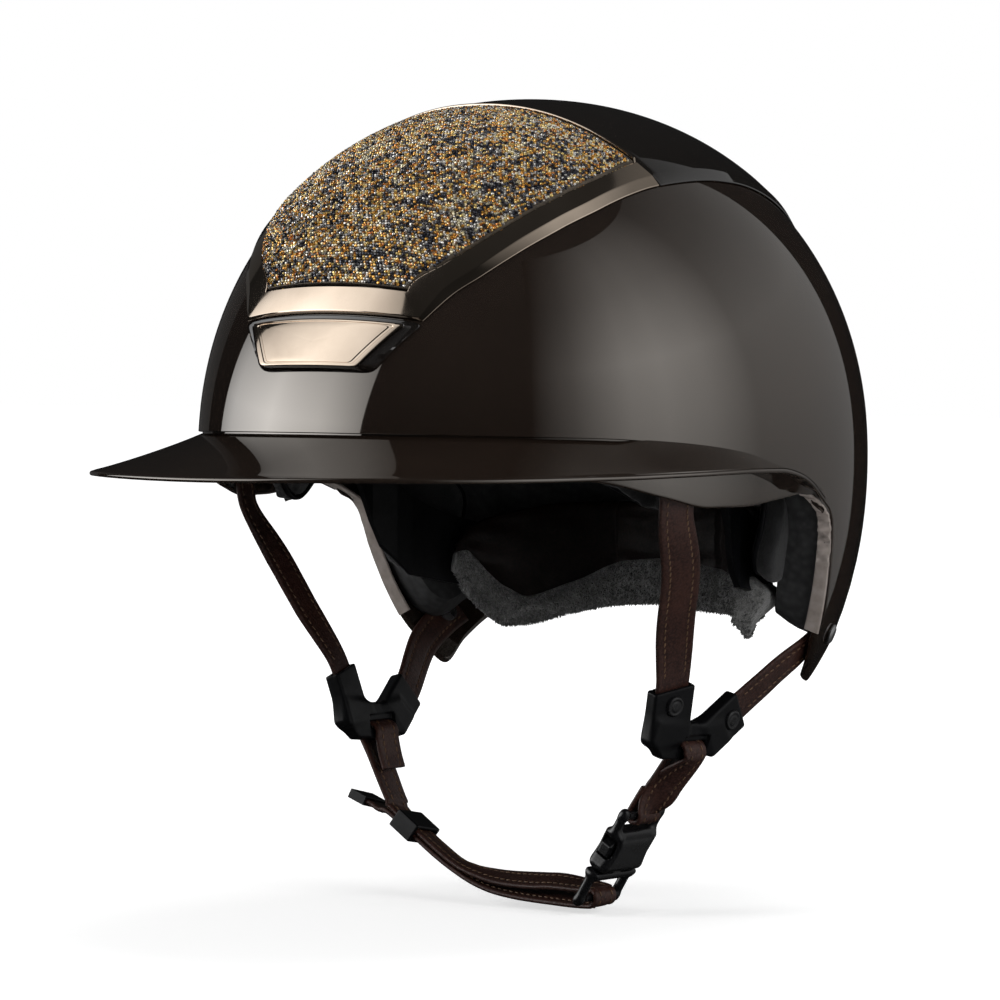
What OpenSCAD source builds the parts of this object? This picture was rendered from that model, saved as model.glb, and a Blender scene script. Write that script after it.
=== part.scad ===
// Riding helmet with a wide brim, a jewelled crown panel, a nape cradle and a leather harness.
// The front of the helmet faces -Y, the wearer's left is +X and up is +Z.
// The origin is the centre of the head space at the level where the dome is widest.

/* [Shell] */
// Half of the shell's outer width
shell_half_w = 113; // [109:1:117]
// Reach of the dome in front of its centre
shell_front = 131; // [127:1:135]
// Reach of the dome behind its centre
shell_back = 138; // [134:1:142]
// Height of the dome above its widest level
dome_height = 129; // [125:1:133]
// Depth at which the full form would close below
dome_depth = 143; // [139:1:148]
// Squareness of the dome, where 2 is an ellipsoid
dome_power = 2.1; // [2.05:0.05:2.2]
// Wall of the shell
shell_wall = 3; // [2.6:0.1:3.4]
// Step of the shell behind the brim
brim_recess = 1.5; // [1.2:0.1:1.8]
// Depth of the temple lobe of the shell below the widest level
lobe_drop = 15; // [13:1:17]
// Depth of the rear wing tips
wing_drop = 82; // [78:1:86]
// Depth of the rim at the arch over the dial
arch_drop = 29; // [26:1:32]

/* [Brim] */
// Reach of the brim beyond the dome at the front
brim_reach = 58.5; // [54:0.5:62]
// Reach of the brim beyond the dome beside the temples
brim_side = 16; // [12:1:20]
// Height at which the brim leaves the dome at the front
brim_root = 10.7; // [9.5:0.1:11.5]
// Depth of the brim's edge below the widest level at the front
brim_edge_drop = 3.4; // [2.4:0.2:4.4]
// Thickness of the brim at its edge
brim_edge = 1.7; // [1.5:0.1:2.4]
// Height of the collar that seats on the shell
brim_collar = 6.5; // [5:0.5:7]

/* [Crown] */
// Height of the crown band above the shell
band_rise = 1.7; // [1.5:0.1:2.2]
// Half width of the crown band at its widest
band_half_w = 75.5; // [72:0.5:79]
// Half width of the crystal panel at its widest
crystal_half_w = 66; // [62:0.5:69]
// Rise of the crystal panel above the band
crystal_rise = 0.6; // [0.4:0.1:0.9]
// Height angle of the crystal panel's front edge
crystal_front_angle = 28; // [27:0.5:31]
// Height angle of the crystal panel's rear edge
crystal_rear_angle = 75.5; // [72:0.5:80]
// Height angle where the rear cover ends
cover_end_angle = 163; // [155:1:166]
// Half width of the badge place at its top
badge_half_w = 39; // [36:0.5:41]
// Width of the badge bezel's border
badge_border = 6; // [5:0.5:7]

/* [Liner] */
// Thickness of the impact foam at the crown
foam_crown = 22; // [18:1:24]
// Thickness of the impact foam near the rim
foam_rim = 16; // [14:1:17]
// Thickness of the comfort pads
pad_thick = 6; // [5:0.5:7]

/* [Nape cradle] */
// Half width of the cradle's plan
nape_half_w = 78; // [76:0.5:79]
// Reach of the cradle behind the centre
nape_back = 96; // [94:0.5:98]
// Level of the dial's axis below the widest level
dial_drop = 44; // [42:0.5:46]
// Thickness of the cradle arms
arm_thick = 2.4; // [2:0.2:2.8]
// Travel of each arm from loose to tight
arm_travel = 5; // [4:0.5:5]
// Radius of the dial knob
knob_r = 15; // [13:0.5:17]
// Thickness of the dial knob
knob_thick = 9; // [7:0.5:11]
// Teeth of the pinion
pinion_teeth = 10; // [8:2:12]
// Module of the pinion and the racks
tooth_module = 0.8; // [0.7:0.05:0.9]
// Radius of the cradle's pivot pins
pivot_r = 2; // [1.8:0.1:2.4]
// Thickness of the nape pads
nape_pad_thick = 6; // [5:0.5:7]

/* [Harness] */
// Width of the front straps
strap_w = 15; // [14:0.5:16]
// Width of the rear straps
rear_w = 13; // [12:0.5:15]
// Width of the chin strap and the loop that carries the buckle
chin_w = 13; // [12:0.5:14]
// Thickness of the leather straps
strap_thick = 1.8; // [1.5:0.1:2.2]
// Distance of each divider from the middle plane
divider_x = 74; // [72:0.5:77]
// Depth of the dividers' centres
divider_drop = 93; // [90:1:97]
// Thickness of a divider's arms
divider_thick = 5.6; // [5.2:0.1:6.4]
// Width of the buckle
buckle_w = 25; // [24:0.5:28]
// Thickness of the buckle
buckle_thick = 9; // [9:0.5:11]
// Travel of each buckle prong when it is squeezed
prong_travel = 2; // [1.5:0.1:2.2]
// Travel of the keeper along the chin strap, towards the buckle
keeper_travel = 10; // [6:0.5:12]

/* [Hidden] */
// Clearance between pieces that lie on each other
seat = 0.3;
// Radial clearance of a turning shaft
run_gap = 0.05;
fine = 48;

// Plan directions of the shell's columns from the front to the back
half_columns = [0, 8, 16, 24, 32, 39, 46, 53, 60, 67, 74, 81, 88, 94, 98.5, 102, 105, 107.7,
                109.1, 111.4, 114.5, 118.6, 123.5, 129, 136, 144, 152, 159, 165, 172, 180];
ring_columns = concat(half_columns,
                      [for (i = [len(half_columns) - 2 : -1 : 1]) -half_columns[i]]);

// Height of the shell's rim by plan direction
rim_keys = [[0, -3], [46, -5], [60, 4 - lobe_drop], [70, -lobe_drop], [78, -lobe_drop],
            [88, 2 - lobe_drop], [98.5, 4 - lobe_drop], [102, -16], [105, -18.5], [107.7, -22],
            [109.1, -36.4], [111.4, -50], [114.5, -64], [118.6, -74], [123.5, -wing_drop],
            [129, 9 - wing_drop], [136, 19 - wing_drop], [144, 27 - wing_drop], [152, -50],
            [159, -43], [165, -4 - arch_drop], [172, -arch_drop], [180, -arch_drop]];
// Height of the soft crease over the brim by plan direction
crease_keys = [[0, brim_root], [46, brim_root - 1.6], [60, brim_root - 3.4], [67, 6], [77, 3.2],
               [85, -0.8], [94, -8], [98.5, -9], [102, -11], [107, -14], [114, -26], [124, -34],
               [136, -30], [150, -22], [165, -12], [180, -10]];
// Height of the foam's lower edge by plan direction
foam_keys = [[0, 2], [46, 1], [60, -1], [70, -2.5], [90, -5], [100, -5], [104, -9], [108, -22],
             [111, -36], [114, -47], [118, -53], [124, -55], [136, -53], [148, -45], [158, -34],
             [166, 7 - arch_drop], [180, 7 - arch_drop]];
// Reach of the brim beyond the dome by plan direction
brim_keys = [[0, brim_reach], [8, brim_reach - 1], [16, brim_reach - 4], [24, brim_reach - 9.5],
             [32, brim_reach - 17.5], [39, brim_reach - 25.5], [46, brim_reach - 33],
             [53, brim_side + 7], [60, brim_side + 4.5], [67, brim_side + 2], [74, brim_side - 0.5],
             [81, brim_side - 3.5], [88, brim_side - 7], [94, brim_side - 10], [98.5, 3.5],
             [102, 2]];
// Depth of the brim's edge by plan direction
edge_keys = [[0, -brim_edge_drop], [20, 0.4 - brim_edge_drop], [32, -brim_edge_drop],
             [46, 0.2 - brim_edge_drop], [60, 1 - brim_edge_drop], [74, 1.6 - brim_edge_drop],
             [81, -2], [88, -4], [94, -7.5], [98.5, -11], [102, -14]];
// Half width of the crown band where it meets the shell, by height angle
band_keys = [[14, 24], [23, badge_half_w], [29, band_half_w - 28.5], [33, band_half_w - 22.5],
             [40, band_half_w - 14.9], [48, band_half_w - 8.6], [58, band_half_w - 3.7],
             [70, band_half_w - 1.2], [83, band_half_w], [98, band_half_w - 1],
             [108, band_half_w - 2.9], [116, band_half_w - 5.1], [130, band_half_w - 11.5],
             [145, band_half_w - 23], [155, band_half_w - 33], [166, band_half_w - 45]];
// Half width of the crystal panel by height angle
crystal_keys = [[28, crystal_half_w - 34.7], [33.6, crystal_half_w - 25.2],
                [39.7, crystal_half_w - 16.4], [47.2, crystal_half_w - 9.5],
                [55.6, crystal_half_w - 4.2], [65.5, crystal_half_w - 0.7], [76, crystal_half_w]];

// Width of the sloping border of the crown band
bevel_w = 2.2;
// Lowest part of the crown pieces, clear of the shell
band_seat = 0.5;
// Gap between the shell and the foam
foam_gap = 0.5;

// Cradle levels and the pieces round the dial
rack_thick = 3;
rack_y = nape_back - 3.5;
pitch_r = pinion_teeth * tooth_module / 2;
rack_back = 2.8;
rack_half_h = pitch_r + 1.25 * tooth_module + rack_back;
housing_half_w = 18;
housing_half_h = rack_half_h + 0.4 + 3.2;
housing_front = rack_y - rack_thick / 2 - 3;
cover_y = rack_y + rack_thick / 2 + seat;
housing_back = cover_y + 5;
shaft_r = 3;
rack_inner = 8;
arm_rear_angle = 165;
pivot_y = 2;
pivot_z = 3;
// Outward bend of each arm's front end, towards the foam
arm_flare = 6;

// Divider frame: yaw about Z, then lean about Y
divider_yaw = 4;
divider_lean = 15;
divider_y = -1.5;
pocket_w = strap_w + 0.7;
rear_pocket_w = rear_w + 0.7;
pocket_t = strap_thick + 0.6;
bar_h = 4;
slot_h = 5;
slot_w = chin_w + 2.5;
slot_a = -1;
slot_b = -8.5;

// Buckle frame: its top centre and its slant in the XZ plane
buckle_top = [53, -3.5, -127];
buckle_slant = 32.5;
socket_len = 26;
insert_base = 15;
bar_r = 1.6;

function mix(a, b, t) = a + (b - a) * t;
function unit(v) = v / norm(v);
function clamp(x, lo, hi) = min(max(x, lo), hi);

// Reach of the form above or below the widest level, grown by o
function half_height(z, o) = (z > 0 ? dome_height : dome_depth) + o;
// Share of the plan that is left at height z
function shrink(z, o) = pow(1 - pow(abs(z) / half_height(z, o), dome_power), 1 / dome_power);
// Radius of the plan in direction u, which is 0 at the front and 90 on the left
function plan_reach(u, o) = pow(pow(abs(sin(u)) / (shell_half_w + o), dome_power)
    + pow(abs(cos(u)) / ((cos(u) > 0 ? shell_front : shell_back) + o), dome_power),
    -1 / dome_power);
// Point of the form grown by o, in plan direction u at height z
function at_height(u, z, o) = let(r = plan_reach(u, o) * shrink(z, o))
    [r * sin(u), -r * cos(u), z];
// Angle of the form at height z, and the point of the form at such an angle
function rise_angle(z) = sign(z) * asin(pow(abs(z) / half_height(z, 0), dome_power / 2));
function at_angle(u, v, o) = let(r = plan_reach(u, o) * pow(abs(cos(v)), 2 / dome_power))
    [r * sin(u), -r * cos(u),
     sign(v) * half_height(v, o) * pow(abs(sin(v)), 2 / dome_power)];
// Point of the form grown by o at distance x from the middle plane and height angle b
function on_crown(x, b, o) = let(
    r = pow(pow(abs(cos(b)) / ((b < 90 ? shell_front : shell_back) + o), dome_power)
        + pow(abs(sin(b)) / (dome_height + o), dome_power), -1 / dome_power),
    k = pow(1 - pow(abs(x) / (shell_half_w + o), dome_power), 1 / dome_power))
    [x, -cos(b) * r * k, sin(b) * r * k];
// Outward direction of the form at a point
function outward(p) = unit([for (i = [0 : 2]) let(a = [shell_half_w,
    p.y < 0 ? shell_front : shell_back, p.z > 0 ? dome_height : dome_depth][i])
    sign(p[i]) * pow(abs(p[i]) / a, dome_power - 1) / a]);

function rim_z(u) = lookup(abs(u), rim_keys);
function crease_z(u) = max(lookup(abs(u), crease_keys), rim_z(u) + 2.5);
function foam_z(u) = lookup(abs(u), foam_keys);
function recess(u) = brim_recess * clamp((102.5 - abs(u)) / 2, 0, 1);

// Closed skin between an outer and an inner net of points, each a list of rows.
// A ring joins its last column to its first, a tip closes the last row to one point,
// and cells for which hole(row, column) is true are left open.
module skin(outer, inner, ring = false, tip = [], hole = function(i, j) false) {
    n = len(outer);
    m = len(outer[0]);
    cells = ring ? m : m - 1;
    base = n * m;
    function id(i, j) = i * m + j % m;
    function solid(i, j) = i >= 0 && i < n - 1 && (ring || (j >= 0 && j < cells))
        && !hole(i, (j + cells) % cells);
    function quad(a, b, c, d) = [[a, b, c], [a, c, d]];
    points = concat([for (r = outer) each r], [for (r = inner) each r], tip);
    faces = [for (i = [0 : n - 2], j = [0 : cells - 1]) if (solid(i, j))
        let(a = id(i, j), b = id(i + 1, j), c = id(i + 1, j + 1), d = id(i, j + 1))
        each concat(
            quad(a, b, c, d), quad(a + base, d + base, c + base, b + base),
            solid(i - 1, j) ? [] : quad(a, d, d + base, a + base),
            solid(i + 1, j) ? [] : len(tip) > 0 && i == n - 2
                ? [[c, b, 2 * base], [b + base, c + base, 2 * base + 1]]
                : quad(c, b, b + base, c + base),
            solid(i, j - 1) ? [] : quad(b, a, a + base, b + base),
            solid(i, j + 1) ? [] : quad(d, c, c + base, d + base))];
    polyhedron(points, faces);
}

// Flat band along a path, with its width direction at each point
module ribbon(path, across, w, t) {
    n = len(path);
    along = [for (i = [0 : n - 1])
        unit(path[min(i + 1, n - 1)] - path[max(i - 1, 0)])];
    face = [for (i = [0 : n - 1]) unit(cross(across[i], along[i]))];
    side = [for (i = [0 : n - 1]) cross(along[i], face[i])];
    skin([for (i = [0 : n - 1]) [for (s = [-1, 0, 1])
              path[i] + side[i] * s * w / 2 + face[i] * (t / 2 + (s == 0 ? 0 : -0.25))]],
         [for (i = [0 : n - 1]) [for (s = [-1, 0, 1])
              path[i] + side[i] * s * w / 2 - face[i] * (t / 2 + (s == 0 ? 0 : -0.25))]]);
}

// Outline of a strap seen from its edge: a path in the XZ plane given a thickness
function edge_outline(path, t) = let(n = len(path),
    along = [for (i = [0 : n - 1]) unit(path[min(i + 1, n - 1)] - path[max(i - 1, 0)])],
    turn = [for (i = [0 : n - 1]) let(
        a = unit(path[max(i, 1)] - path[max(i, 1) - 1]),
        b = unit(path[min(i + 1, n - 1)] - path[min(i, n - 2)]))
        1 / sqrt((1 + a * b) / 2)])
    concat([for (i = [0 : n - 1])
               path[i] + [-along[i].y, along[i].x] * t / 2 * turn[i]],
           [for (i = [n - 1 : -1 : 0])
               path[i] - [-along[i].y, along[i].x] * t / 2 * turn[i]]);
// Arc of a strap round a bar, from angle a0 to angle a1
function bend(c, r, a0, a1, n) = [for (i = [0 : n])
    let(a = mix(a0, a1, i / n)) c + r * [cos(a), sin(a)]];
// Raises a flat outline in the XZ plane to a solid centred on y
module across_y(y, w) {
    translate([0, y + w / 2, 0]) rotate([90, 0, 0]) linear_extrude(w) children();
}

module mirror_x(right) {
    mirror([right ? 1 : 0, 0, 0]) children();
}

// Shell, brim and rim

low_rows = 3;
high_rows = 11;
lip_step = 1.2;
function shell_row(u, j) = let(low = rise_angle(rim_z(u)), mid = rise_angle(crease_z(u)))
    j <= low_rows ? mix(low, mid, j / low_rows)
                  : mix(mid + lip_step, 90, (j - low_rows - 1) / high_rows);

module shell() {
    rows = low_rows + high_rows;
    color([0.12, 0.09, 0.075])
    skin([for (j = [0 : rows]) [for (u = ring_columns)
              at_angle(u, shell_row(u, j), j <= low_rows ? -recess(u) : 0)]],
         [for (j = [0 : rows]) [for (u = ring_columns)
              at_angle(u, shell_row(u, j), -shell_wall)]],
         ring = true, tip = [[0, 0, dome_height], [0, 0, dome_height - shell_wall]]);
}

brim_columns = [for (i = [-15 : 15]) sign(i) * half_columns[abs(i)]];
brim_steps = 5;
function brim_inner(u, z) = let(o = seat - recess(u)) plan_reach(u, o) * shrink(z, o);
function brim_top(u, s) = let(
    root_z = crease_z(u) - 0.9,
    root_r = brim_inner(u, root_z),
    out_r = plan_reach(u, 0) * shrink(root_z, 0) + lookup(abs(u), brim_keys),
    r = mix(root_r, out_r, s),
    z = mix(root_z, lookup(abs(u), edge_keys), 1 - pow(1 - s, 1.12)))
    [r * sin(u), -r * cos(u), z];
function brim_low(u, s) = let(p = brim_top(u, s),
    root_z = crease_z(u) - 0.9,
    drop = s == 0 ? min(brim_collar, root_z - rim_z(u) - 0.8)
                  : mix(min(brim_collar, 4.5), brim_edge, min(1, s * 2.5)),
    z = p.z - max(drop, 1.2),
    r = s == 0 ? brim_inner(u, z) : norm([p.x, p.y]) - 0.2)
    [r * sin(u), -r * cos(u), z];

module brim() {
    steps = [for (i = [0 : brim_steps]) pow(i / brim_steps, 1.2)];
    color([0.13, 0.10, 0.085])
    skin([for (s = steps) [for (u = brim_columns) brim_low(u, s)]],
         [for (s = steps) [for (u = brim_columns) brim_top(u, s)]]);
}

// Folded edge that follows the front of each wing, as a band that faces forward
trim_keys = [[-64, 114.5], [-57, 112.8], [-50, 111.4], [-43, 110.2], [-36.4, 109.1],
             [-29, 108.4], [-23, 107.7]];
module rim_trims() {
    heights = [for (k = trim_keys) k[0]];
    module trim() {
        skin([for (z = heights) let(u = lookup(z, trim_keys))
                  [at_height(u - 0.95, z, 0), at_height(u - 0.95, z, -shell_wall - 2)]],
             [for (z = heights) let(u = lookup(z, trim_keys))
                  [at_height(u - 0.25, z, 0), at_height(u - 0.25, z, -shell_wall - 2)]]);
    }
    color([0.55, 0.48, 0.42]) {
        trim();
        mirror_x(true) trim();
    }
}

// Crown band: metal frame, jewelled panel, rear cover and badge place

frame_angles = [23.2, crystal_front_angle - 0.4, 33, 39, 46, 54, 62, 69, crystal_rear_angle];
function frame_columns(b) = let(
    h = lookup(b, band_keys),
    c = lookup(b, crystal_keys) + seat + 0.2)
    [-h, -(h - bevel_w), -min(c, h - bevel_w - 1), -c / 2, 0, c / 2,
     min(c, h - bevel_w - 1), h - bevel_w, h];
module crown_frame() {
    function rise(j) = j == 0 || j == 8 ? 0.7 : band_rise;
    color([0.72, 0.60, 0.50])
    skin([for (b = frame_angles) let(x = frame_columns(b))
              [for (j = [0 : 8]) on_crown(x[j], b, rise(j))]],
         [for (b = frame_angles) let(x = frame_columns(b))
              [for (j = [0 : 8]) on_crown(x[j], b, band_seat)]],
         hole = function(i, j) i > 0 && j > 1 && j < 6);
}

module crystal_panel() {
    angles = [for (i = [0 : 12]) mix(crystal_front_angle, crystal_rear_angle - 0.6, i / 12)];
    columns = [-1, -0.88, -0.7, -0.5, -0.3, -0.1, 0.1, 0.3, 0.5, 0.7, 0.88, 1];
    function half(b) = lookup(b, crystal_keys) - (b < crystal_front_angle + 1 ? 3 : 0);
    color([0.45, 0.36, 0.24])
    skin([for (b = angles) [for (c = columns) on_crown(c * half(b), b,
              band_rise + (abs(c) == 1 || b == angles[0] ? 0.3 : crystal_rise))]],
         [for (b = angles) [for (c = columns) on_crown(c * half(b), b, band_seat)]]);
}

module crystal_edge_strip() {
    h = lookup(crystal_rear_angle, crystal_keys);
    columns = [for (i = [-8 : 8]) i / 8];
    angles = [crystal_rear_angle - 0.35, crystal_rear_angle + 0.2];
    color([0.85, 0.80, 0.74])
    skin([for (b = angles) [for (c = columns) on_crown(c * h, b, band_rise + 1)]],
         [for (b = angles) [for (c = columns) on_crown(c * h, b, band_seat)]]);
}

module rear_cover() {
    n = 18;
    shares = [0, 0.2, 0.42, 0.62, 0.82, 1];
    angles = [for (i = [0 : n]) mix(crystal_rear_angle + 0.45, cover_end_angle, i / n)];
    function half(b) = lookup(b, band_keys);
    function columns(b) = let(h = half(b), t = h - bevel_w)
        concat([-h], [for (k = [5 : -1 : 1]) -t * shares[k]], [for (s = shares) t * s], [h]);
    function rise(i, j) = j == 0 || j == 12 || i == n ? 0.8 : band_rise;
    vent_row = 13;
    color([0.05, 0.045, 0.04])
    skin([for (i = [0 : n]) let(x = columns(angles[i]))
              [for (j = [0 : 12]) on_crown(x[j], angles[i], rise(i, j))]],
         [for (i = [0 : n]) let(x = columns(angles[i]))
              [for (j = [0 : 12]) on_crown(x[j], angles[i], band_seat)]],
         hole = function(i, j) i == vent_row && (j == 3 || j == 4 || j == 7 || j == 8));
}

// Badge place below the frame: a bezel with a bare plate in it
badge_top = 22.8;
badge_low = 14.3;
function badge_half(b) = mix(24.5, badge_half_w - 0.4, (b - badge_low) / (badge_top - badge_low));
module badge_bezel() {
    edge = badge_border / 4;
    angles = [badge_low, badge_low + 1.9, badge_top - 1.6, badge_top];
    columns = function(b) let(h = badge_half(b), i = h - badge_border)
        [-h, -h + edge, -i, -i / 2, 0, i / 2, i, h - edge, h];
    function rise(i, j) = i == 0 || j == 0 || j == 8 ? 0.7 : band_rise;
    color([0.76, 0.64, 0.54])
    skin([for (i = [0 : 3]) let(x = columns(angles[i]))
              [for (j = [0 : 8]) on_crown(x[j], angles[i], rise(i, j))]],
         [for (i = [0 : 3]) let(x = columns(angles[i]))
              [for (j = [0 : 8]) on_crown(x[j], angles[i], band_seat)]],
         hole = function(i, j) i == 1 && j > 1 && j < 6);
}

module badge_plate() {
    angles = [badge_low + 2.1, badge_top - 1.8];
    function half(b) = badge_half(b) - badge_border - 0.4;
    columns = [-1, -0.5, 0, 0.5, 1];
    color([0.82, 0.71, 0.62])
    skin([for (b = angles) [for (c = columns) on_crown(c * half(b), b, band_rise + 0.6)]],
         [for (b = angles) [for (c = columns) on_crown(c * half(b), b, band_seat)]]);
}

// Foam and comfort pads

function foam_thick(z) = mix(foam_rim, foam_crown, clamp((z + 20) / 45, 0, 1));
function foam_inner(z) = -(shell_wall + foam_gap + foam_thick(z));

module impact_liner() {
    half = concat([0, 12, 24, 36, 46, 56, 66, 76, 88, 96, 101],
                  [104, 106.5, 108.5, 111, 114, 118, 124, 131, 139, 148, 158, 166, 173, 180]);
    ring = concat(half, [for (i = [len(half) - 2 : -1 : 1]) -half[i]]);
    rows = 9;
    function angle(u, j) = mix(rise_angle(foam_z(u)), 90, j / (rows + 1));
    function inner_point(u, v) = let(z = at_angle(u, v, 0).z) at_angle(u, v, foam_inner(z));
    color([0.17, 0.17, 0.17])
    skin([for (j = [0 : rows]) [for (u = ring)
              at_angle(u, angle(u, j), -shell_wall - foam_gap)]],
         [for (j = [0 : rows]) [for (u = ring) inner_point(u, angle(u, j))]],
         ring = true, tip = [[0, 0, dome_height - shell_wall - foam_gap],
                             [0, 0, dome_height + foam_inner(dome_height)]]);
}

// Distance of the pads from the foam's true form, which clears its flats
pad_seat = 1.7;
// Cushion on the inner side of the foam: a patch of the form that swells in its middle
module cushion(us, zs, thick, low = function(u) 0) {
    nu = len(us) - 1;
    nz = len(zs) - 1;
    function edge(i, n) = i == 0 || i == n;
    function z_at(i, j) = zs[i] + (i == 0 ? low(us[j]) : i == 1 ? low(us[j]) * 0.5 : 0);
    function crown(i, j) = thick * (edge(i, nz) || edge(j, nu) ? 0.45
        : i == 1 || i == nz - 1 || j == 1 || j == nu - 1 ? 0.9 : 1);
    skin([for (i = [0 : nz]) [for (j = [0 : nu]) let(z = z_at(i, j))
              at_angle(us[j], rise_angle(z), foam_inner(z) - pad_seat)]],
         [for (i = [0 : nz]) [for (j = [0 : nu]) let(z = z_at(i, j))
              at_angle(us[j], rise_angle(z), foam_inner(z) - pad_seat - crown(i, j))]]);
}

module crown_pad() {
    columns = [for (i = [0 : 31]) i * 11.25];
    rows = [28, 36, 50, 58, 70, 78];
    function in_o(v) = foam_inner(dome_height) - 0.7;
    color([0.12, 0.12, 0.13])
    skin([for (v = rows) [for (u = columns) at_angle(u, v, in_o(v))]],
         [for (v = rows) [for (u = columns) at_angle(u, v, in_o(v) - pad_thick * 0.7)]],
         ring = true,
         tip = [[0, 0, dome_height + in_o(90)], [0, 0, dome_height + in_o(90) - pad_thick * 0.7]],
         hole = function(i, j) (i == 1 || i == 3) && j % 4 > 0);
}

module front_pad() {
    us = [for (i = [0 : 12]) -46 + i * 92 / 12];
    color([0.14, 0.14, 0.15])
    cushion(us, [-3, 0, 7, 14, 21, 27, 30], pad_thick);
}

module temple_pad(right) {
    us = [48, 51, 57, 63, 69, 75, 78];
    color([0.14, 0.14, 0.15])
    mirror_x(right) cushion(us, [-4, 0, 7, 14, 21, 27, 30], pad_thick);
}

module wing_pad(right) {
    us = [103, 106, 111, 116, 121, 126, 129];
    color([0.10, 0.10, 0.11])
    mirror_x(right) cushion(us, [-40, -36, -29, -21, -13, -9], pad_thick * 0.8,
                            function(u) -11 * clamp((u - 103) / 9, 0, 1));
}

// Nape cradle

nape_power = 2.3;
function nape_reach(u, o) = pow(pow(abs(sin(u)) / (nape_half_w + o), nape_power)
    + pow(abs(cos(u)) / (nape_back + o), nape_power), -1 / nape_power);
function on_nape(u, z, o) = let(r = nape_reach(u, o)) [r * sin(u), -r * cos(u), z];
// Pins on which the arms' eyes turn and slide, with studs that the foam is moulded round
module pivot_pins() {
    face = plan_reach(90, foam_inner(pivot_z)) * shrink(pivot_z, foam_inner(pivot_z)) - 0.5;
    tip = nape_half_w + arm_flare - arm_thick - arm_travel - 1.2;
    module pin() {
        translate([0, pivot_y, pivot_z]) rotate([0, 90, 0]) {
            translate([0, 0, tip]) cylinder(r = pivot_r, h = face - tip, $fn = fine);
            translate([0, 0, face - 1.8]) cylinder(r = 6, h = 1.8, $fn = fine);
            translate([0, 0, face - 0.1]) cylinder(r = 3, h = 8, $fn = fine);
            translate([0, 0, face + 6]) cylinder(r = 5, h = 2, $fn = fine);
        }
    }
    color([0.5, 0.5, 0.52]) {
        pin();
        mirror_x(true) pin();
    }
}

// Rack tooth profile with its pitch line on the X axis and its tip towards +Y
module rack_profile(x0, x1) {
    p = PI * tooth_module;
    slope = tan(25);
    flank = 0.12;
    first = ceil((x0 / p) - 0.25);
    last = floor((x1 / p) - 0.75);
    translate([x0, -1.25 * tooth_module - rack_back]) square([x1 - x0, rack_back]);
    for (k = [first : last]) {
        c = (k + 0.5) * p;
        root = p / 4 - flank + slope * 1.25 * tooth_module;
        tip = p / 4 - flank - slope * 0.9 * tooth_module;
        polygon([[c - root, -1.25 * tooth_module - 0.01], [c + root, -1.25 * tooth_module - 0.01],
                 [c + tip, 0.9 * tooth_module], [c - tip, 0.9 * tooth_module]]);
    }
}

// Arm of the cradle with its rack: the left rack runs over the pinion, the right one under it
module rack_arm(right) {
    us = [83, 86, 89, 92, 95, 98, 102, 107, 113, 119, 126, 133, 141, 149, 157, arm_rear_angle];
    end_h = rack_half_h - 0.2;
    top_keys = [[83, 5], [86, 9], [92, 9], [95, 4], [98, -7], [107, -17], [119, -24], [141, -32],
                [arm_rear_angle, end_h - dial_drop]];
    low_keys = [[83, 1], [86, -4], [89, -8], [92, -16], [98, -36], [107, -47], [126, -52],
                [149, -54], [arm_rear_angle, -end_h - dial_drop]];
    rows = 3;
    rack_outer = on_nape(arm_rear_angle, 0, 0).x + 2.5;
    function level(u, i) = mix(lookup(u, low_keys), lookup(u, top_keys), i / rows);
    function flare(u) = arm_flare * clamp((104 - u) / 10, 0, 1);
    color([0.06, 0.06, 0.065])
    mirror_x(right) {
        difference() {
            skin([for (i = [0 : rows]) [for (u = us) on_nape(u, level(u, i), flare(u))]],
                 [for (i = [0 : rows]) [for (u = us)
                     on_nape(u, level(u, i), flare(u) - arm_thick)]]);
            translate([nape_half_w - 8, pivot_y, pivot_z]) rotate([0, 90, 0])
                cylinder(r = pivot_r + run_gap, h = 24, $fn = fine);
        }
        translate([0, rack_y - rack_thick / 2, -dial_drop]) rotate([-90, 0, 0])
            linear_extrude(rack_thick) mirror([0, right ? 1 : 0])
                translate([0, -pitch_r]) rack_profile(-rack_inner, rack_outer);
    }
}

// Outline with rounded corners in the housing's plane
module cradle_block(y0, y1) {
    r = 4;
    translate([0, y0, -dial_drop]) rotate([-90, 0, 0])
        linear_extrude(y1 - y0) hull() for (sx = [-1, 1], sz = [-1, 1])
            translate([sx * (housing_half_w - r), sz * (housing_half_h - r)]) circle(r, $fn = 32);
}
module along_y(x, y, z) {
    translate([x, y, z]) rotate([-90, 0, 0]) children();
}

screw_x = housing_half_w - 4;
screw_z = housing_half_h - 1.75;
screw_r = 0.9;
screw_depth = 4;
module at_screws(y) {
    for (sx = [-1, 1], sz = [-1, 1]) along_y(sx * screw_x, y, sz * screw_z - dial_drop) children();
}

module cradle_housing() {
    channel_h = 2 * (rack_half_h + 0.2);
    channel_y = rack_y - rack_thick / 2 - 0.2;
    color([0.07, 0.07, 0.075])
    difference() {
        cradle_block(housing_front, cover_y);
        translate([-housing_half_w - 1, channel_y, -dial_drop - channel_h / 2])
            cube([2 * housing_half_w + 2, cover_y - channel_y + 1, channel_h]);
        along_y(0, housing_front + 1, -dial_drop)
            cylinder(r = shaft_r - 1 + run_gap, h = rack_y - housing_front, $fn = fine);
        at_screws(cover_y - screw_depth - 0.3)
            cylinder(r = screw_r + run_gap, h = screw_depth + 1, $fn = 24);
    }
}

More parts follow.
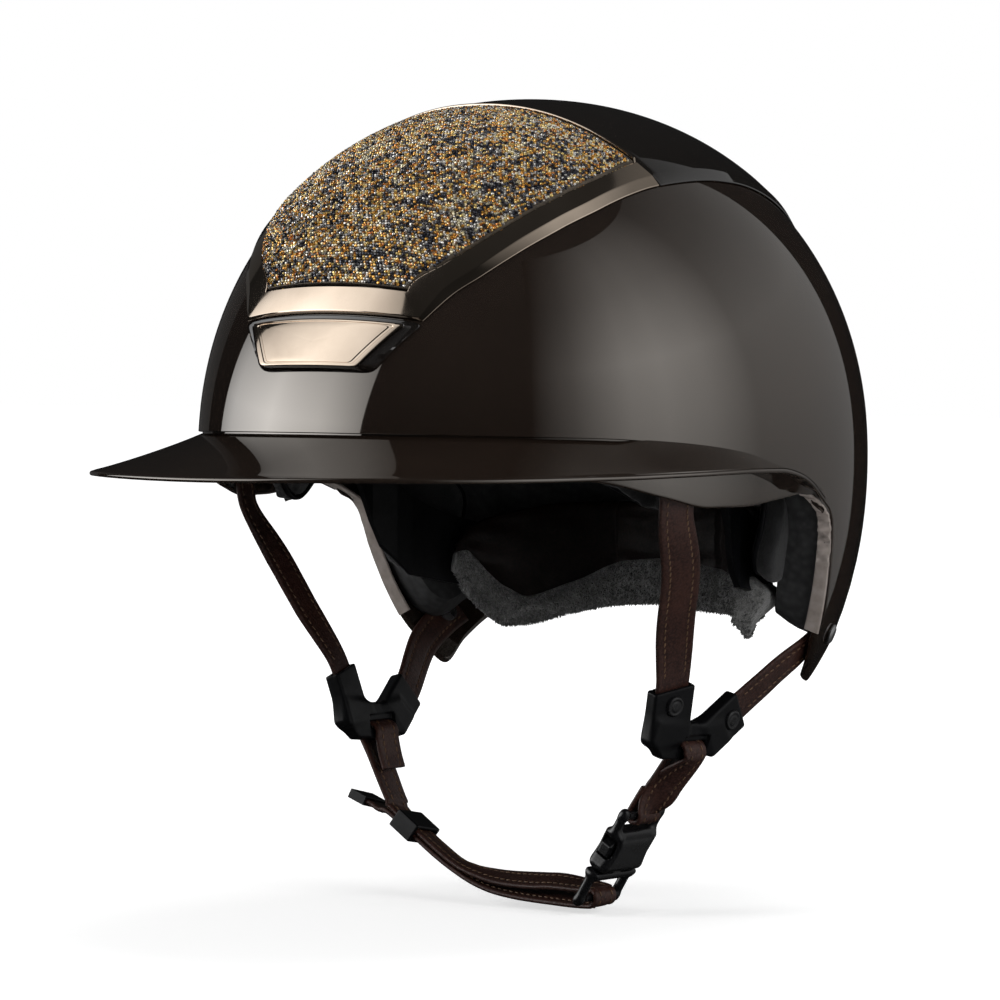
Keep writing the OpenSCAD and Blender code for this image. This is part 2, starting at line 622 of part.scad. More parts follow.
module housing_cover() {
    color([0.07, 0.07, 0.075])
    difference() {
        cradle_block(cover_y, housing_back);
        along_y(0, cover_y - 1, -dial_drop)
            cylinder(r = shaft_r + run_gap, h = housing_back - cover_y + 2, $fn = fine);
        at_screws(cover_y - 1)
            cylinder(r = screw_r + run_gap, h = housing_back - cover_y + 2, $fn = 24);
        at_screws(housing_back - 1.2) cylinder(r = screw_r + 0.8, h = 2, $fn = 24);
    }
}

module cover_screws() {
    color([0.45, 0.45, 0.47])
    at_screws(cover_y - screw_depth) {
        cylinder(r = screw_r, h = screw_depth + housing_back - cover_y - 1.2, $fn = 24);
        translate([0, 0, screw_depth + housing_back - cover_y - 1.2])
            cylinder(r = screw_r + 0.7, h = 1, $fn = 24);
    }
}

// Pinion with involute flanks, turned so that a tooth points up
function involute(a) = tan(a) * 180 / PI - a;
module pinion_profile() {
    pressure = 25;
    base_r = pitch_r * cos(pressure);
    tip_r = pitch_r + 0.9 * tooth_module;
    root_r = pitch_r - 1.2 * tooth_module;
    slack = 0.08 / pitch_r * 180 / PI;
    half = 90 / pinion_teeth - slack + involute(pressure);
    flank = [for (i = [0 : 4]) let(r = mix(max(base_r, root_r), tip_r, i / 4))
        [r, half - involute(acos(min(1, base_r / r)))]];
    rotate(90) {
        circle(root_r, $fn = fine);
        for (k = [0 : pinion_teeth - 1]) rotate(k * 360 / pinion_teeth)
            polygon(concat([[0, 0], [root_r - 0.1, 0] + [0, -root_r * sin(half)]],
                [for (f = flank) f[0] * [cos(f[1]), -sin(f[1])]],
                [for (i = [4 : -1 : 0]) flank[i][0] * [cos(flank[i][1]), sin(flank[i][1])]],
                [[root_r - 0.1, root_r * sin(half)]]));
    }
}

knob_y = housing_back + 0.4;
module dial_pinion() {
    color([0.75, 0.75, 0.72])
    difference() {
        union() {
            along_y(0, rack_y - rack_thick / 2, -dial_drop)
                linear_extrude(rack_thick) pinion_profile();
            along_y(0, rack_y - rack_thick / 2 - 1.8, -dial_drop)
                cylinder(r = shaft_r - 1, h = 2, $fn = fine);
            along_y(0, rack_y + rack_thick / 2 - 0.5, -dial_drop)
                cylinder(r = shaft_r, h = knob_y + 5 - rack_y - rack_thick / 2 + 0.5, $fn = fine);
        }
        along_y(0, knob_y - 1, -dial_drop) cylinder(r = 1.25, h = 10, $fn = 32);
    }
}

module dial_knob() {
    grooves = 20;
    color([0.05, 0.05, 0.055])
    along_y(0, knob_y, -dial_drop)
    difference() {
        union() {
            cylinder(r = knob_r, h = knob_thick - 1.5, $fn = 72);
            translate([0, 0, knob_thick - 1.5])
                cylinder(r1 = knob_r, r2 = knob_r - 1.5, h = 1.5, $fn = 72);
        }
        for (k = [0 : grooves - 1]) rotate(k * 360 / grooves) translate([knob_r + 0.5, 0, -1])
            cylinder(r = 1.5, h = knob_thick + 2, $fn = 24);
        translate([0, 0, -1]) cylinder(r = shaft_r + run_gap, h = 6.3, $fn = fine);
        translate([0, 0, -1]) cylinder(r = 1.5, h = knob_thick + 2, $fn = 32);
        translate([0, 0, 6.5]) cylinder(r = 6, h = knob_thick, $fn = fine);
    }
}

module dial_screw() {
    color([0.5, 0.5, 0.52])
    along_y(0, knob_y, -dial_drop) {
        translate([0, 0, 0.5]) cylinder(r = 1.2, h = 6.1, $fn = 32);
        difference() {
            translate([0, 0, 6.6]) cylinder(r1 = 3.4, r2 = 2.8, h = 1.4, $fn = 32);
            translate([0, 0, 7.2]) cylinder(r = 1.2, h = 2, $fn = 6);
        }
    }
}

// Pads on the inner side of the cradle
module nape_pad(right) {
    us = [for (i = [0 : 12]) mix(112, 162.5, i / 12)];
    ts = [0, 0.1, 0.28, 0.5, 0.72, 0.9, 1];
    function low(u) = lookup(u, [[112, -48], [117, -57], [120.5, -66], [124, -64.5], [130, -61.5],
                                 [145, -59.5], [163, -57]]);
    function crown(i, j) = nape_pad_thick * (i == 0 || i == 6 || j == 0 || j == 12 ? 0.45
        : i == 1 || i == 5 || j == 1 || j == 11 ? 0.88 : i == 3 ? 0.94 : 1);
    function high(u) = lookup(u, [[112, -38], [117, -33], [130, -33], [163, -35]]);
    color([0.20, 0.12, 0.09])
    mirror_x(right)
    skin([for (i = [0 : 6]) [for (j = [0 : 12]) let(u = us[j])
              on_nape(u, mix(low(u), high(u), ts[i]), -arm_thick - seat)]],
         [for (i = [0 : 6]) [for (j = [0 : 12]) let(u = us[j])
              on_nape(u, mix(low(u), high(u), ts[i]), -arm_thick - seat - crown(i, j))]]);
}

module nape_pad_centre() {
    xs = [for (i = [-4 : 4]) i / 4 * (housing_half_w + 1)];
    zs = [-57, -55.5, -51.5, -46, -40.5, -36.5, -35];
    face = housing_front - seat;
    function crown(i, j) = nape_pad_thick * (i == 0 || i == 6 || j == 0 || j == 8 ? 0.45
        : i == 1 || i == 5 || j == 1 || j == 7 ? 0.88 : 1);
    color([0.20, 0.12, 0.09])
    skin([for (i = [0 : 6]) [for (j = [0 : 8]) [xs[8 - j], face, zs[i]]]],
         [for (i = [0 : 6]) [for (j = [0 : 8]) [xs[8 - j], face - crown(i, j), zs[i]]]]);
}

// Harness: anchors, straps and dividers

strap_off = -(shell_wall + seat + 2 + seat + strap_thick / 2);
anchor_u = 65.5;
module front_strap_anchors() {
    us = [for (d = [-4.2, -2, 0, 2, 4.2]) anchor_u + d];
    zs = [-12, -8.5, -5];
    module plate() {
        skin([for (z = zs) [for (u = us) at_height(u, z, -shell_wall - seat)]],
             [for (z = zs) [for (u = us) at_height(u, z, -shell_wall - seat - 2)]]);
    }
    color([0.3, 0.3, 0.32]) {
        plate();
        mirror_x(true) plate();
    }
}

// Point of the left divider's plane: a runs back, b up and n outward
function dv(a, b, n) = let(
    x = n * cos(divider_lean) + b * sin(divider_lean),
    z = b * cos(divider_lean) - n * sin(divider_lean))
    [divider_x + x * cos(divider_yaw) + a * sin(divider_yaw),
     divider_y + a * cos(divider_yaw) - x * sin(divider_yaw), z - divider_drop];
module divider_frame() {
    translate([divider_x, divider_y, -divider_drop])
        rotate([0, 0, -divider_yaw]) rotate([0, divider_lean, 0])
        rotate(a = 120, v = [1, 1, 1]) children();
}

// Foot of each arm in the divider's plane, and the direction in which its strap leaves
// The front arm is turned about its own length to face the way its strap hangs
front_turn = -10;
front_foot = [-15.5, -0.5];
front_dir = 97;
rear_foot = [12, -5.3];
rear_dir = 35;
arm_len = 13.5;
arm_rim = 1.2;
front_rim = 1.3;
function arm_point(foot, dir, l) = foot + l * [cos(dir), sin(dir)];

// Width direction of the front pocket, in which the strap lies flat
front_across = let(d = front_dir - 90, t = front_turn)
    dv(cos(t) * cos(d), cos(t) * sin(d), -sin(t)) - dv(0, 0, 0);
// The leather gives, so the two front straps hang with a different twist
function strap_turn(right) = right ? 4 : 26;
module front_strap(right) {
    p0 = arm_point(front_foot, front_dir, 1);
    p1 = arm_point(front_foot, front_dir, arm_len / 2);
    p2 = arm_point(front_foot, front_dir, arm_len + 4);
    path = [dv(p0.x, p0.y, 0), dv(p1.x, p1.y, 0), dv(p2.x, p2.y, 0), [84.3, -28, -58],
            [91.8, -35.5, -39], at_height(anchor_u + 0.5, -22, strap_off - 2.2),
            at_height(anchor_u + 0.2, -13, strap_off - 1),
            at_height(anchor_u, -4.9, strap_off - 0.5)];
    middle = [sin(strap_turn(right)), cos(strap_turn(right)), 0];
    top = unit(at_height(anchor_u + 4, -8, 0) - at_height(anchor_u - 4, -8, 0));
    across = [for (i = [0 : len(path) - 1]) i < 3 ? front_across : i < 5 ? middle : top];
    color([0.20, 0.11, 0.08])
    mirror_x(right) ribbon(path, across, strap_w, strap_thick);
}

module rear_strap(right) {
    p0 = arm_point(rear_foot, rear_dir, 1);
    p1 = arm_point(rear_foot, rear_dir, arm_len / 2);
    p2 = arm_point(rear_foot, rear_dir, arm_len + 3);
    in_off = -(shell_wall + 0.4 + strap_thick / 2);
    path = [dv(p0.x, p0.y, 0), dv(p1.x, p1.y, 0), dv(p2.x, p2.y, 0),
            at_height(115, -77, in_off - 3.5), at_height(119.5, -71, in_off - 1.2),
            at_height(124, -65.5, in_off), at_height(127.5, -61.5, in_off)];
    c0 = arm_point([0, 0], rear_dir - 90, 1);
    low = dv(c0.x, c0.y, 0) - dv(0, 0, 0);
    top = unit(at_height(127, -71, 0) - at_height(121.5, -60, 0));
    across = [for (i = [0 : len(path) - 1]) mix(low, top, clamp((i - 1) / 4, 0, 1))];
    color([0.20, 0.11, 0.08])
    mirror_x(right) ribbon(path, across, rear_w, strap_thick);
}

module wing_rivets() {
    module rivet() {
        p = at_height(124.1, -65.3, 0);
        n = outward(p);
        translate(p + n * 0.25) rotate([0, acos(n.z), atan2(n.y, n.x)]) {
            cylinder(r = 4, h = 0.6, $fn = fine);
            translate([0, 0, 0.6]) cylinder(r1 = 4, r2 = 2.8, h = 0.7, $fn = fine);
            translate([0, 0, -7]) cylinder(r = 1.5, h = 7.1, $fn = 32);
            translate([0, 0, -7]) cylinder(r = 3.5, h = 1, $fn = fine);
        }
    }
    color([0.25, 0.22, 0.2]) {
        rivet();
        mirror_x(true) rivet();
    }
}

web_thick = 4.2;
module divider_front() {
    translate(front_foot) rotate([0, 0, front_dir - 90]) rotate([0, front_turn, 0]) children();
}
module divider(right) {
    color([0.04, 0.04, 0.045])
    mirror_x(right) divider_frame() difference() {
        union() {
            translate([0, 0, -divider_thick / 2]) linear_extrude(divider_thick)
                offset(r = 2, $fn = 32) offset(delta = -2) {
                    translate(rear_foot) rotate(rear_dir - 90)
                        translate([-rear_pocket_w / 2 - arm_rim, -5])
                        square([rear_pocket_w + 2 * arm_rim, arm_len + 5]);
                    polygon([[-23, -6], [-17, -14.5], [9, -14.5], [17, -10], [14, 0], [-6, 2],
                             [-22, 2]]);
                }
            divider_front() translate([0, 0, -divider_thick / 2]) linear_extrude(divider_thick)
                offset(r = 2, $fn = 32) offset(delta = -2)
                    translate([-pocket_w / 2 - front_rim, -7])
                    square([pocket_w + front_rim + arm_rim, arm_len + 7]);
        }
        translate([slot_a - slot_w / 2, slot_b - slot_h / 2, -10])
            cube([slot_w, slot_h, 20]);
        for (s = [-1, 1]) translate([slot_a - slot_w / 2, slot_b - 12, s > 0 ? web_thick / 2 : -12])
            cube([slot_w, 12, 12 - web_thick / 2]);
        divider_front() translate([-pocket_w / 2, 0, -pocket_t / 2])
            cube([pocket_w, 30, pocket_t]);
        translate(rear_foot) rotate(rear_dir - 90)
            translate([-rear_pocket_w / 2, 0, -pocket_t / 2]) cube([rear_pocket_w, 30, pocket_t]);
    }
}

module divider_snaps() {
    module snap(l) {
        translate([0, l, divider_thick / 2]) {
            cylinder(r = 4.2, h = 0.8, $fn = fine);
            translate([0, 0, 0.8]) cylinder(r1 = 4.2, r2 = 3, h = 0.8, $fn = fine);
        }
    }
    color([0.05, 0.05, 0.055]) for (right = [false, true]) mirror_x(right) divider_frame() {
        divider_front() snap(arm_len * 0.5);
        translate(rear_foot) rotate(rear_dir - 90) snap(arm_len * 0.55);
    }
}

// Buckle: a socket on the near loop and an insert on the chin strap, with two sprung prongs

module buckle_frame() {
    translate(buckle_top) rotate([0, 90 + buckle_slant, 0]) children();
}
// Place of a point at distance s along the buckle and n out of its plane, in the XZ plane
function buckle_xz(s, n) = [buckle_top.x - s * sin(buckle_slant) + n * cos(buckle_slant),
                            buckle_top.z - s * cos(buckle_slant) - n * sin(buckle_slant)];
rail_w = 3.2;
wall = 1.6;
bar_s = 2.2;
body_s = 8;
window_0 = 12;
window_1 = 19.5;
prong_y = 8.4;
prong_w = 2.6;
prong_t = 4.4;

module buckle_socket() {
    color([0.035, 0.035, 0.04])
    buckle_frame() {
        for (s = [-1, 1]) translate([bar_s, s * (buckle_w - rail_w) / 2, 0]) {
            translate([-bar_s + 0.2, -rail_w / 2, -2.2]) cube([body_s - 0.2, rail_w, 4.4]);
        }
        translate([bar_s, buckle_w / 2 - 1, 0]) rotate([90, 0, 0])
            cylinder(r = bar_r, h = buckle_w - 2, $fn = 32);
        difference() {
            translate([body_s, 0, 0]) rotate([0, 90, 0]) linear_extrude(socket_len - body_s)
                hull() for (y = [-1, 1]) translate([0, y * (buckle_w - buckle_thick) / 2])
                    circle(buckle_thick / 2, $fn = 32);
            translate([body_s + wall, -buckle_w / 2 + wall, -buckle_thick / 2 + wall])
                cube([socket_len, buckle_w - 2 * wall, buckle_thick - 2 * wall]);
            translate([window_0, -buckle_w, -buckle_thick / 2 + wall])
                cube([window_1 - window_0, 2 * buckle_w, buckle_thick - 2 * wall]);
        }
    }
}

module buckle_insert() {
    s0 = socket_len + 0.4;
    tongue = prong_y - prong_w / 2 - prong_travel - 2.5;
    color([0.035, 0.035, 0.04])
    buckle_frame() {
        translate([s0, -buckle_w / 2, -2.6]) cube([3.6, buckle_w, 5.2]);
        for (s = [-1, 1]) translate([s0, s * (buckle_w - rail_w) / 2 - rail_w / 2, -2.2])
            cube([insert_base, rail_w, 4.4]);
        translate([s0 + insert_base - bar_s, buckle_w / 2 - 1, 0]) rotate([90, 0, 0])
            cylinder(r = bar_r, h = buckle_w - 2, $fn = 32);
        translate([window_0, -tongue, -prong_t / 2])
            cube([s0 - window_0 + 1, 2 * tongue, prong_t]);
    }
}

module prong(side) {
    root = socket_len + 0.1;
    reach = buckle_w / 2 - 0.1;
    color([0.035, 0.035, 0.04])
    buckle_frame() mirror([0, side < 0 ? 1 : 0, 0])
        translate([0, 0, -prong_t / 2]) linear_extrude(prong_t)
            polygon([[root, prong_y - prong_w / 2], [root, prong_y + prong_w / 2],
                     [window_1 - 0.1, prong_y + prong_w / 2], [window_1 - 0.5, reach],
                     [window_0 + 2.6, reach], [window_0 + 0.4, prong_y + 1.4],
                     [window_0 + 0.4, prong_y - 1.4], [window_0 + 3, prong_y - prong_w / 2]]);
}

// Centre of the bar under each divider's slot, in the XZ plane
slot_bar = let(p = dv(slot_a, slot_b - slot_h / 2 - bar_h / 2, 0)) [p.x, p.z];
loop_y = dv(slot_a, slot_b, 0).y;
bar_bend = norm([bar_h, web_thick]) / 2 + 0.3 + strap_thick / 2;
ply = strap_thick + 0.4;

module buckle_loop() {
    c2 = buckle_xz(bar_s, 0);
    r2 = bar_r + seat + strap_thick / 2;
    path = concat(
        [[58.6, -117], [62, -112.8]],
        bend(slot_bar, bar_bend, 195, -35, 8),
        [[64.5, -116.5], [60, -121.5]],
        bend(c2, r2, 20, -190, 8),
        [[53.6, -121.8], [56, -118.6]]);
    color([0.22, 0.12, 0.09])
    across_y(loop_y, chin_w) polygon(edge_outline(path, strap_thick));
}

// Chin strap: its run from the right divider down to the insert and back to its tip.
// Its rear edge hangs lower than its front edge on the way down.
run_0 = [-59.5, -134.5];
run_dir = 34;
function run(s, n) = run_0 + s * [cos(run_dir), -sin(run_dir)]
    - n * [sin(run_dir), cos(run_dir)];
run_len = keeper_travel + 16;
strap_roll = 0.24;
module chin_strap() {
    c1 = [-slot_bar.x, slot_bar.y];
    c3 = buckle_xz(socket_len + 0.4 + insert_base - bar_s, 0);
    r3 = bar_r + seat + strap_thick / 2;
    start = concat([[-63.4, -118.3], [-65.2, -113]], bend(c1, bar_bend, -15, 215, 8),
        [[-70.3, -114.2], [-66.2, -122.5], [-62.3, -130]]);
    down = [run(0, 0), run(run_len, 0), [-29, -153.2], [-19, -155.3], [-9, -156.3],
        [4, -156.3], [14, -156]];
    turn = bend(c3, r3, 95, -85, 8);
    back = [[24, -162], [12, -161.4], [-2, -160.9], [-14, -159.9], [-25, -157.4]];
    tail = [run(run_len, ply), run(0, ply), [-66.3, -134.8], [-70, -133], [-74, -131.5]];
    path = concat(start, down, turn, back, tail);
    n1 = len(start);
    n2 = n1 + len(down);
    n3 = n2 + len(turn);
    function roll(i) = i < n1 ? clamp((i - n1 + 3) / 3, 0, 1)
        : i < n2 ? clamp((n2 - 1 - i) / 4, 0, 1) : i < n3 ? 0 : clamp((i - n3) / 4, 0, 1);
    color([0.22, 0.12, 0.09])
    ribbon([for (p = path) [p.x, loop_y, p.y]],
           [for (i = [0 : len(path) - 1]) [0, 1, -strap_roll * roll(i)]], chin_w, strap_thick);
}

// Frame on the strap's run, with X along it and Y across it
module run_frame(p, dir) {
    along = [cos(dir), 0, -sin(dir)];
    face = unit(cross(along, [0, 1, -strap_roll]));
    side = cross(face, along);
    multmatrix([[along.x, side.x, face.x, p.x], [along.y, side.y, face.y, loop_y],
                [along.z, side.z, face.z, p.y], [0, 0, 0, 1]]) children();
}

module strap_tip() {
    len = 8;
    gap = 0.15;
    color([0.04, 0.04, 0.045])
    run_frame([-74, -131.5], atan2(1.5, 4)) difference() {
        translate([-len + 2, -chin_w / 2 - 1, -strap_thick / 2 - 0.9])
            cube([len, chin_w + 2, strap_thick + 1.8]);
        translate([-len, -chin_w / 2 - gap, -strap_thick / 2 - gap])
            cube([len + 20, chin_w + 2 * gap, strap_thick + 2 * gap]);
    }
}

module strap_keeper() {
    len = 11;
    in_t = ply + strap_thick + 0.7;
    in_w = chin_w + 0.7;
    color([0.04, 0.04, 0.045])
    run_frame(run(8, ply / 2), run_dir) difference() {
        translate([-len / 2, -in_w / 2 - 1.3, -in_t / 2 - 1.3])
            cube([len, in_w + 2.6, in_t + 2.6]);
        translate([-len, -in_w / 2, -in_t / 2]) cube([2 * len, in_w, in_t]);
    }
}

shell();
brim();
rim_trims();
crown_frame();
rear_cover();
crystal_panel();
crystal_edge_strip();
badge_bezel();
badge_plate();
impact_liner();
crown_pad();
front_pad();
temple_pad(false);  // temple_pad_left
temple_pad(true);  // temple_pad_right
wing_pad(false);  // wing_pad_left
wing_pad(true);  // wing_pad_right
pivot_pins();
wing_rivets();
front_strap_anchors();
front_strap(false);  // front_strap_left
front_strap(true);  // front_strap_right
rear_strap(false);  // rear_strap_left
rear_strap(true);  // rear_strap_right
divider(false);  // divider_left
divider(true);  // divider_right
divider_snaps();
buckle_loop();
buckle_socket();
buckle_insert();
prong(-1);  // buckle_prong_front
prong(1);  // buckle_prong_rear
chin_strap();
strap_tip();
strap_keeper();
cradle_housing();
housing_cover();
cover_screws();
dial_knob();
dial_pinion();
dial_screw();
rack_arm(false);  // rack_arm_left
rack_arm(true);  // rack_arm_right
nape_pad_centre();
nape_pad(false);  // nape_pad_left
nape_pad(true);  // nape_pad_right
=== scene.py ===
# %% [markdown]
# # A riding helmet, dressed in Blender
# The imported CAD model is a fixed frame: it says where every piece sits and how it moves.
# This lesson loads it, and builds a finer visible piece over each CAD solid. The helmet faces
# -Y, the wearer's left is +X, up is +Z, and one unit is one metre. The lengths in this script
# are written in millimetres, as in the CAD source, and only `piece()` turns them into metres.

# %% Load the frame
import math
import bmesh
import bpy
import numpy as np
from mathutils import Matrix, Vector


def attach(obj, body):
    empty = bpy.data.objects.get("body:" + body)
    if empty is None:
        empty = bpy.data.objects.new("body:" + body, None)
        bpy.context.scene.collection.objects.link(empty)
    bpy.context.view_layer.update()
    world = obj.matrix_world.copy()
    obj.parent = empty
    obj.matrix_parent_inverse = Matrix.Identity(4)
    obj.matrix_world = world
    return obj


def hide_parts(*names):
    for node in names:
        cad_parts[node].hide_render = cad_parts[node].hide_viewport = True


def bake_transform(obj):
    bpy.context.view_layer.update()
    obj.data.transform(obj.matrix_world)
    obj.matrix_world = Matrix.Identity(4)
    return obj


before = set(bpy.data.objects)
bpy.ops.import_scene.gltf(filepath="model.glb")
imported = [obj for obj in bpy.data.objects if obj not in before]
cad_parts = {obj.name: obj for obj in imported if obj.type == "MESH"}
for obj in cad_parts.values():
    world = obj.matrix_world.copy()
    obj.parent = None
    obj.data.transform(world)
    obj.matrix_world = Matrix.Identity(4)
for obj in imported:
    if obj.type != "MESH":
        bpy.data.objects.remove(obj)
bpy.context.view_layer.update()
scene = bpy.context.scene
scene.view_settings.view_transform = "Standard"

# %% [markdown]
# ## The camera
# The photo was taken from a long way off, level with the rim, 37 degrees round to the wearer's
# left. A long lens far away keeps the straps parallel. Sliding the camera a little left and down
# in its own plane puts the helmet where the photo has it, without lens shift.

# %% Camera
azimuth, elevation = math.radians(37.23), math.radians(2.02)
distance, slide_left, slide_down = 1.9, 0.012, 0.0163
back = Vector((math.sin(azimuth) * math.cos(elevation), -math.cos(azimuth) * math.cos(elevation),
               math.sin(elevation)))
right = Vector((math.cos(azimuth), math.sin(azimuth), 0))
camera = bpy.data.objects.new("camera", bpy.data.cameras.new("camera"))
scene.collection.objects.link(camera)
camera.location = back * distance - right * slide_left - right.cross(-back) * slide_down
camera.rotation_mode = "QUATERNION"
camera.rotation_quaternion = (-back).to_track_quat("-Z", "Y")
camera.data.lens, camera.data.sensor_width = 186, 36
scene.camera = camera
print("camera stands at", [round(v, 2) for v in camera.location])

# %% [markdown]
# ## The studio
# Gloss shows the room more than it shows the light that falls on it. Lamps alone would leave the
# lacquer empty, so the room is built as a photographer builds it: dark flags all round, one tall
# softbox in front on the wearer's right, one large panel on the wearer's left whose light falls
# off from a soft bright spot, and a dim strip behind on the right. Flags and panels are patches
# of a sphere that only reflections can see. Lamps that reflections can't see give the plain light
# on the colours.

# %% Patches of the studio
def nodes_of(material):
    material.use_nodes = True
    material.node_tree.nodes.clear()
    return material.node_tree


def add(tree, kind, values={}, **settings):
    node = tree.nodes.new(kind)
    for key, value in settings.items():
        setattr(node, key, value)
    for key, value in values.items():
        if isinstance(value, bpy.types.NodeSocket):
            tree.links.new(value, node.inputs[key])
        else:
            node.inputs[key].default_value = value
    return node


def ramp(tree, factor, stops, mode="LINEAR"):
    node = add(tree, "ShaderNodeValToRGB", {"Fac": factor})
    node.color_ramp.interpolation = mode
    while len(node.color_ramp.elements) < len(stops):
        node.color_ramp.elements.new(0.5)
    for element, (place, value) in zip(node.color_ramp.elements, stops):
        element.position = place
        element.color = (value, value, value, 1) if isinstance(value, (int, float)) else (*value, 1)
    return node.outputs["Color"]


def patch(name, radius, low, high, heights, around, upward, strength):
    """Part of a sphere between two heights, from low[0] to low[1] degrees round at its foot and
    from high[0] to high[1] at its top, lit by a ramp each way."""
    steps = 48
    mesh = bpy.data.meshes.new(name)
    points, faces, places = [], [], []
    for i in range(steps + 1):
        for j in range(steps + 1):
            start = low[0] + (high[0] - low[0]) * j / steps
            end = low[1] + (high[1] - low[1]) * j / steps
            a = math.radians(start + (end - start) * i / steps)
            e = math.radians(heights[0] + (heights[1] - heights[0]) * j / steps)
            points.append((radius * math.sin(a) * math.cos(e), -radius * math.cos(a) * math.cos(e),
                           radius * math.sin(e)))
            places.append((i / steps, j / steps))
    for i in range(steps):
        for j in range(steps):
            k = i * (steps + 1) + j
            faces.append((k, k + 1, k + steps + 2, k + steps + 1))
    mesh.from_pydata(points, [], faces)
    layer = mesh.uv_layers.new(name="UVMap")
    for loop in mesh.loops:
        layer.data[loop.index].uv = places[loop.vertex_index]
    material = bpy.data.materials.new(name)
    tree = nodes_of(material)
    uv = add(tree, "ShaderNodeSeparateXYZ", {"Vector": add(tree, "ShaderNodeUVMap").outputs[0]})
    product = add(tree, "ShaderNodeVectorMath", operation="MULTIPLY")
    tree.links.new(ramp(tree, uv.outputs[0], around), product.inputs[0])
    tree.links.new(ramp(tree, uv.outputs[1], upward), product.inputs[1])
    glow = add(tree, "ShaderNodeEmission", {"Color": product.outputs[0], "Strength": strength})
    add(tree, "ShaderNodeOutputMaterial", {"Surface": glow.outputs[0]})
    mesh.materials.append(material)
    thing = bpy.data.objects.new(name, mesh)
    scene.collection.objects.link(thing)
    for ray in ("camera", "diffuse", "transmission", "volume_scatter", "shadow"):
        setattr(thing, "visible_" + ray, False)
    return thing


flags = patch("studio_flags", 2.8, (-180, 180), (-180, 180), (-89.9, 89.9), [(0, 1), (1, 1)],
              [(0, 0.015), (0.5, 0.008), (1, 0.04)], 1)
softbox = patch("studio_softbox", 2.4, (-93, -18), (-66, 1), (-3, 66),
                [(0, 0.3), (0.12, 0.55), (0.45, 1), (0.75, 0.75), (1, 0.34)],
                [(0, 0.85), (0.15, 1), (0.5, 0.45), (1, 0.3)], 4.1)
panel = patch("studio_panel", 2.4, (52, 180), (52, 180), (-45, 60),
              [(0, 0.02), (0.12, 0.3), (0.28, 0.9), (0.38, 1), (0.5, 0.8), (0.64, 0.38), (1, 0.32)],
              [(0, 0.16), (0.3, 0.45), (0.5, 0.8), (0.64, 1), (0.83, 0.5), (1, 0.22)], 1.24)
strip = patch("studio_strip", 2.4, (-130, -108), (-122, -100), (-10, 40), [(0, 1), (1, 1)],
              [(0, 1), (1, 0.3)], 0.07)
print("studio patches:", flags.name, softbox.name, panel.name, strip.name)

# %% [markdown]
# ## Floor, background and lamps
# The photo's background is plain white. The world is white for rays that come from the camera or
# from a reflection, and a soft grey for the light it casts. The floor lies under the buckle, the
# lowest point, and is pale with a little glow for the camera, so that it keeps a soft shadow.

# %% Floor, world and lamps
world = bpy.data.worlds.new("studio")
scene.world = world
world.use_nodes = True
tree = world.node_tree
tree.nodes.clear()
path = add(tree, "ShaderNodeLightPath")
seen = add(tree, "ShaderNodeMath", {0: path.outputs["Is Camera Ray"],
                                    1: path.outputs["Is Glossy Ray"]}, operation="MAXIMUM")
seen = add(tree, "ShaderNodeMath", {0: seen.outputs[0], 1: path.outputs["Is Transmission Ray"]},
           operation="MAXIMUM")
shade = add(tree, "ShaderNodeMix", {"Factor": seen.outputs[0], "A": 0.16, "B": 1.0},
            data_type="FLOAT")
sky = add(tree, "ShaderNodeBackground", {"Color": (1, 1, 1, 1), "Strength": shade.outputs[0]})
add(tree, "ShaderNodeOutputWorld", {"Surface": sky.outputs[0]})

floor_z, floor_half = -0.1667, 8
floor_mesh = bpy.data.meshes.new("floor")
floor_mesh.from_pydata([(x * floor_half, y * floor_half, floor_z)
                        for x, y in ((-1, -1), (1, -1), (1, 1), (-1, 1))], [], [(0, 1, 2, 3)])
pale = bpy.data.materials.new("pale_floor")
tree = nodes_of(pale)
path = add(tree, "ShaderNodeLightPath")
matte = add(tree, "ShaderNodeBsdfDiffuse", {"Color": (0.8, 0.8, 0.8, 1)})
place = add(tree, "ShaderNodeNewGeometry")
away = add(tree, "ShaderNodeVectorMath", {0: place.outputs["Position"]}, operation="LENGTH")
lift = add(tree, "ShaderNodeMapRange", {"Value": away.outputs["Value"], "From Min": 0.3,
                                        "From Max": 1.1, "To Min": 0.62, "To Max": 1.0})
lift = add(tree, "ShaderNodeMath", {0: path.outputs["Is Camera Ray"], 1: lift.outputs[0]},
           operation="MULTIPLY")
glow = add(tree, "ShaderNodeEmission", {"Color": (1, 1, 1, 1), "Strength": lift.outputs[0]})
both = add(tree, "ShaderNodeAddShader", {0: matte.outputs[0], 1: glow.outputs[0]})
add(tree, "ShaderNodeOutputMaterial", {"Surface": both.outputs[0]})
floor_mesh.materials.append(pale)
floor = bpy.data.objects.new("floor", floor_mesh)
scene.collection.objects.link(floor)
floor.visible_glossy = False


def lamp(name, place, size, watts):
    light = bpy.data.objects.new(name, bpy.data.lights.new(name, "AREA"))
    light.data.size, light.data.energy = size, watts
    light.location = place
    light.rotation_mode = "QUATERNION"
    light.rotation_quaternion = (-Vector(place)).to_track_quat("-Z", "Y")
    light.visible_glossy = False
    scene.collection.objects.link(light)


lamp("lamp_left", (2.3, -0.5, 0.8), 1.4, 30)
lamp("lamp_front", (-1.4, -2.0, 1.1), 1.2, 24)
lamp("lamp_top", (0.2, 0.6, 2.4), 1.6, 20)

# %% [markdown]
# ## Shared finishes
# A finish is a material, and an effect that several finishes share is a node group: built once,
# with named inputs, and placed in each material with its own numbers. `pebble` gives a leather or
# moulded plastic its grain, `mottle` gives slow changes of tone and polish, and `nap` gives fleece
# and cloth their fibres. Each puts out values that vary over the surface and nothing else.

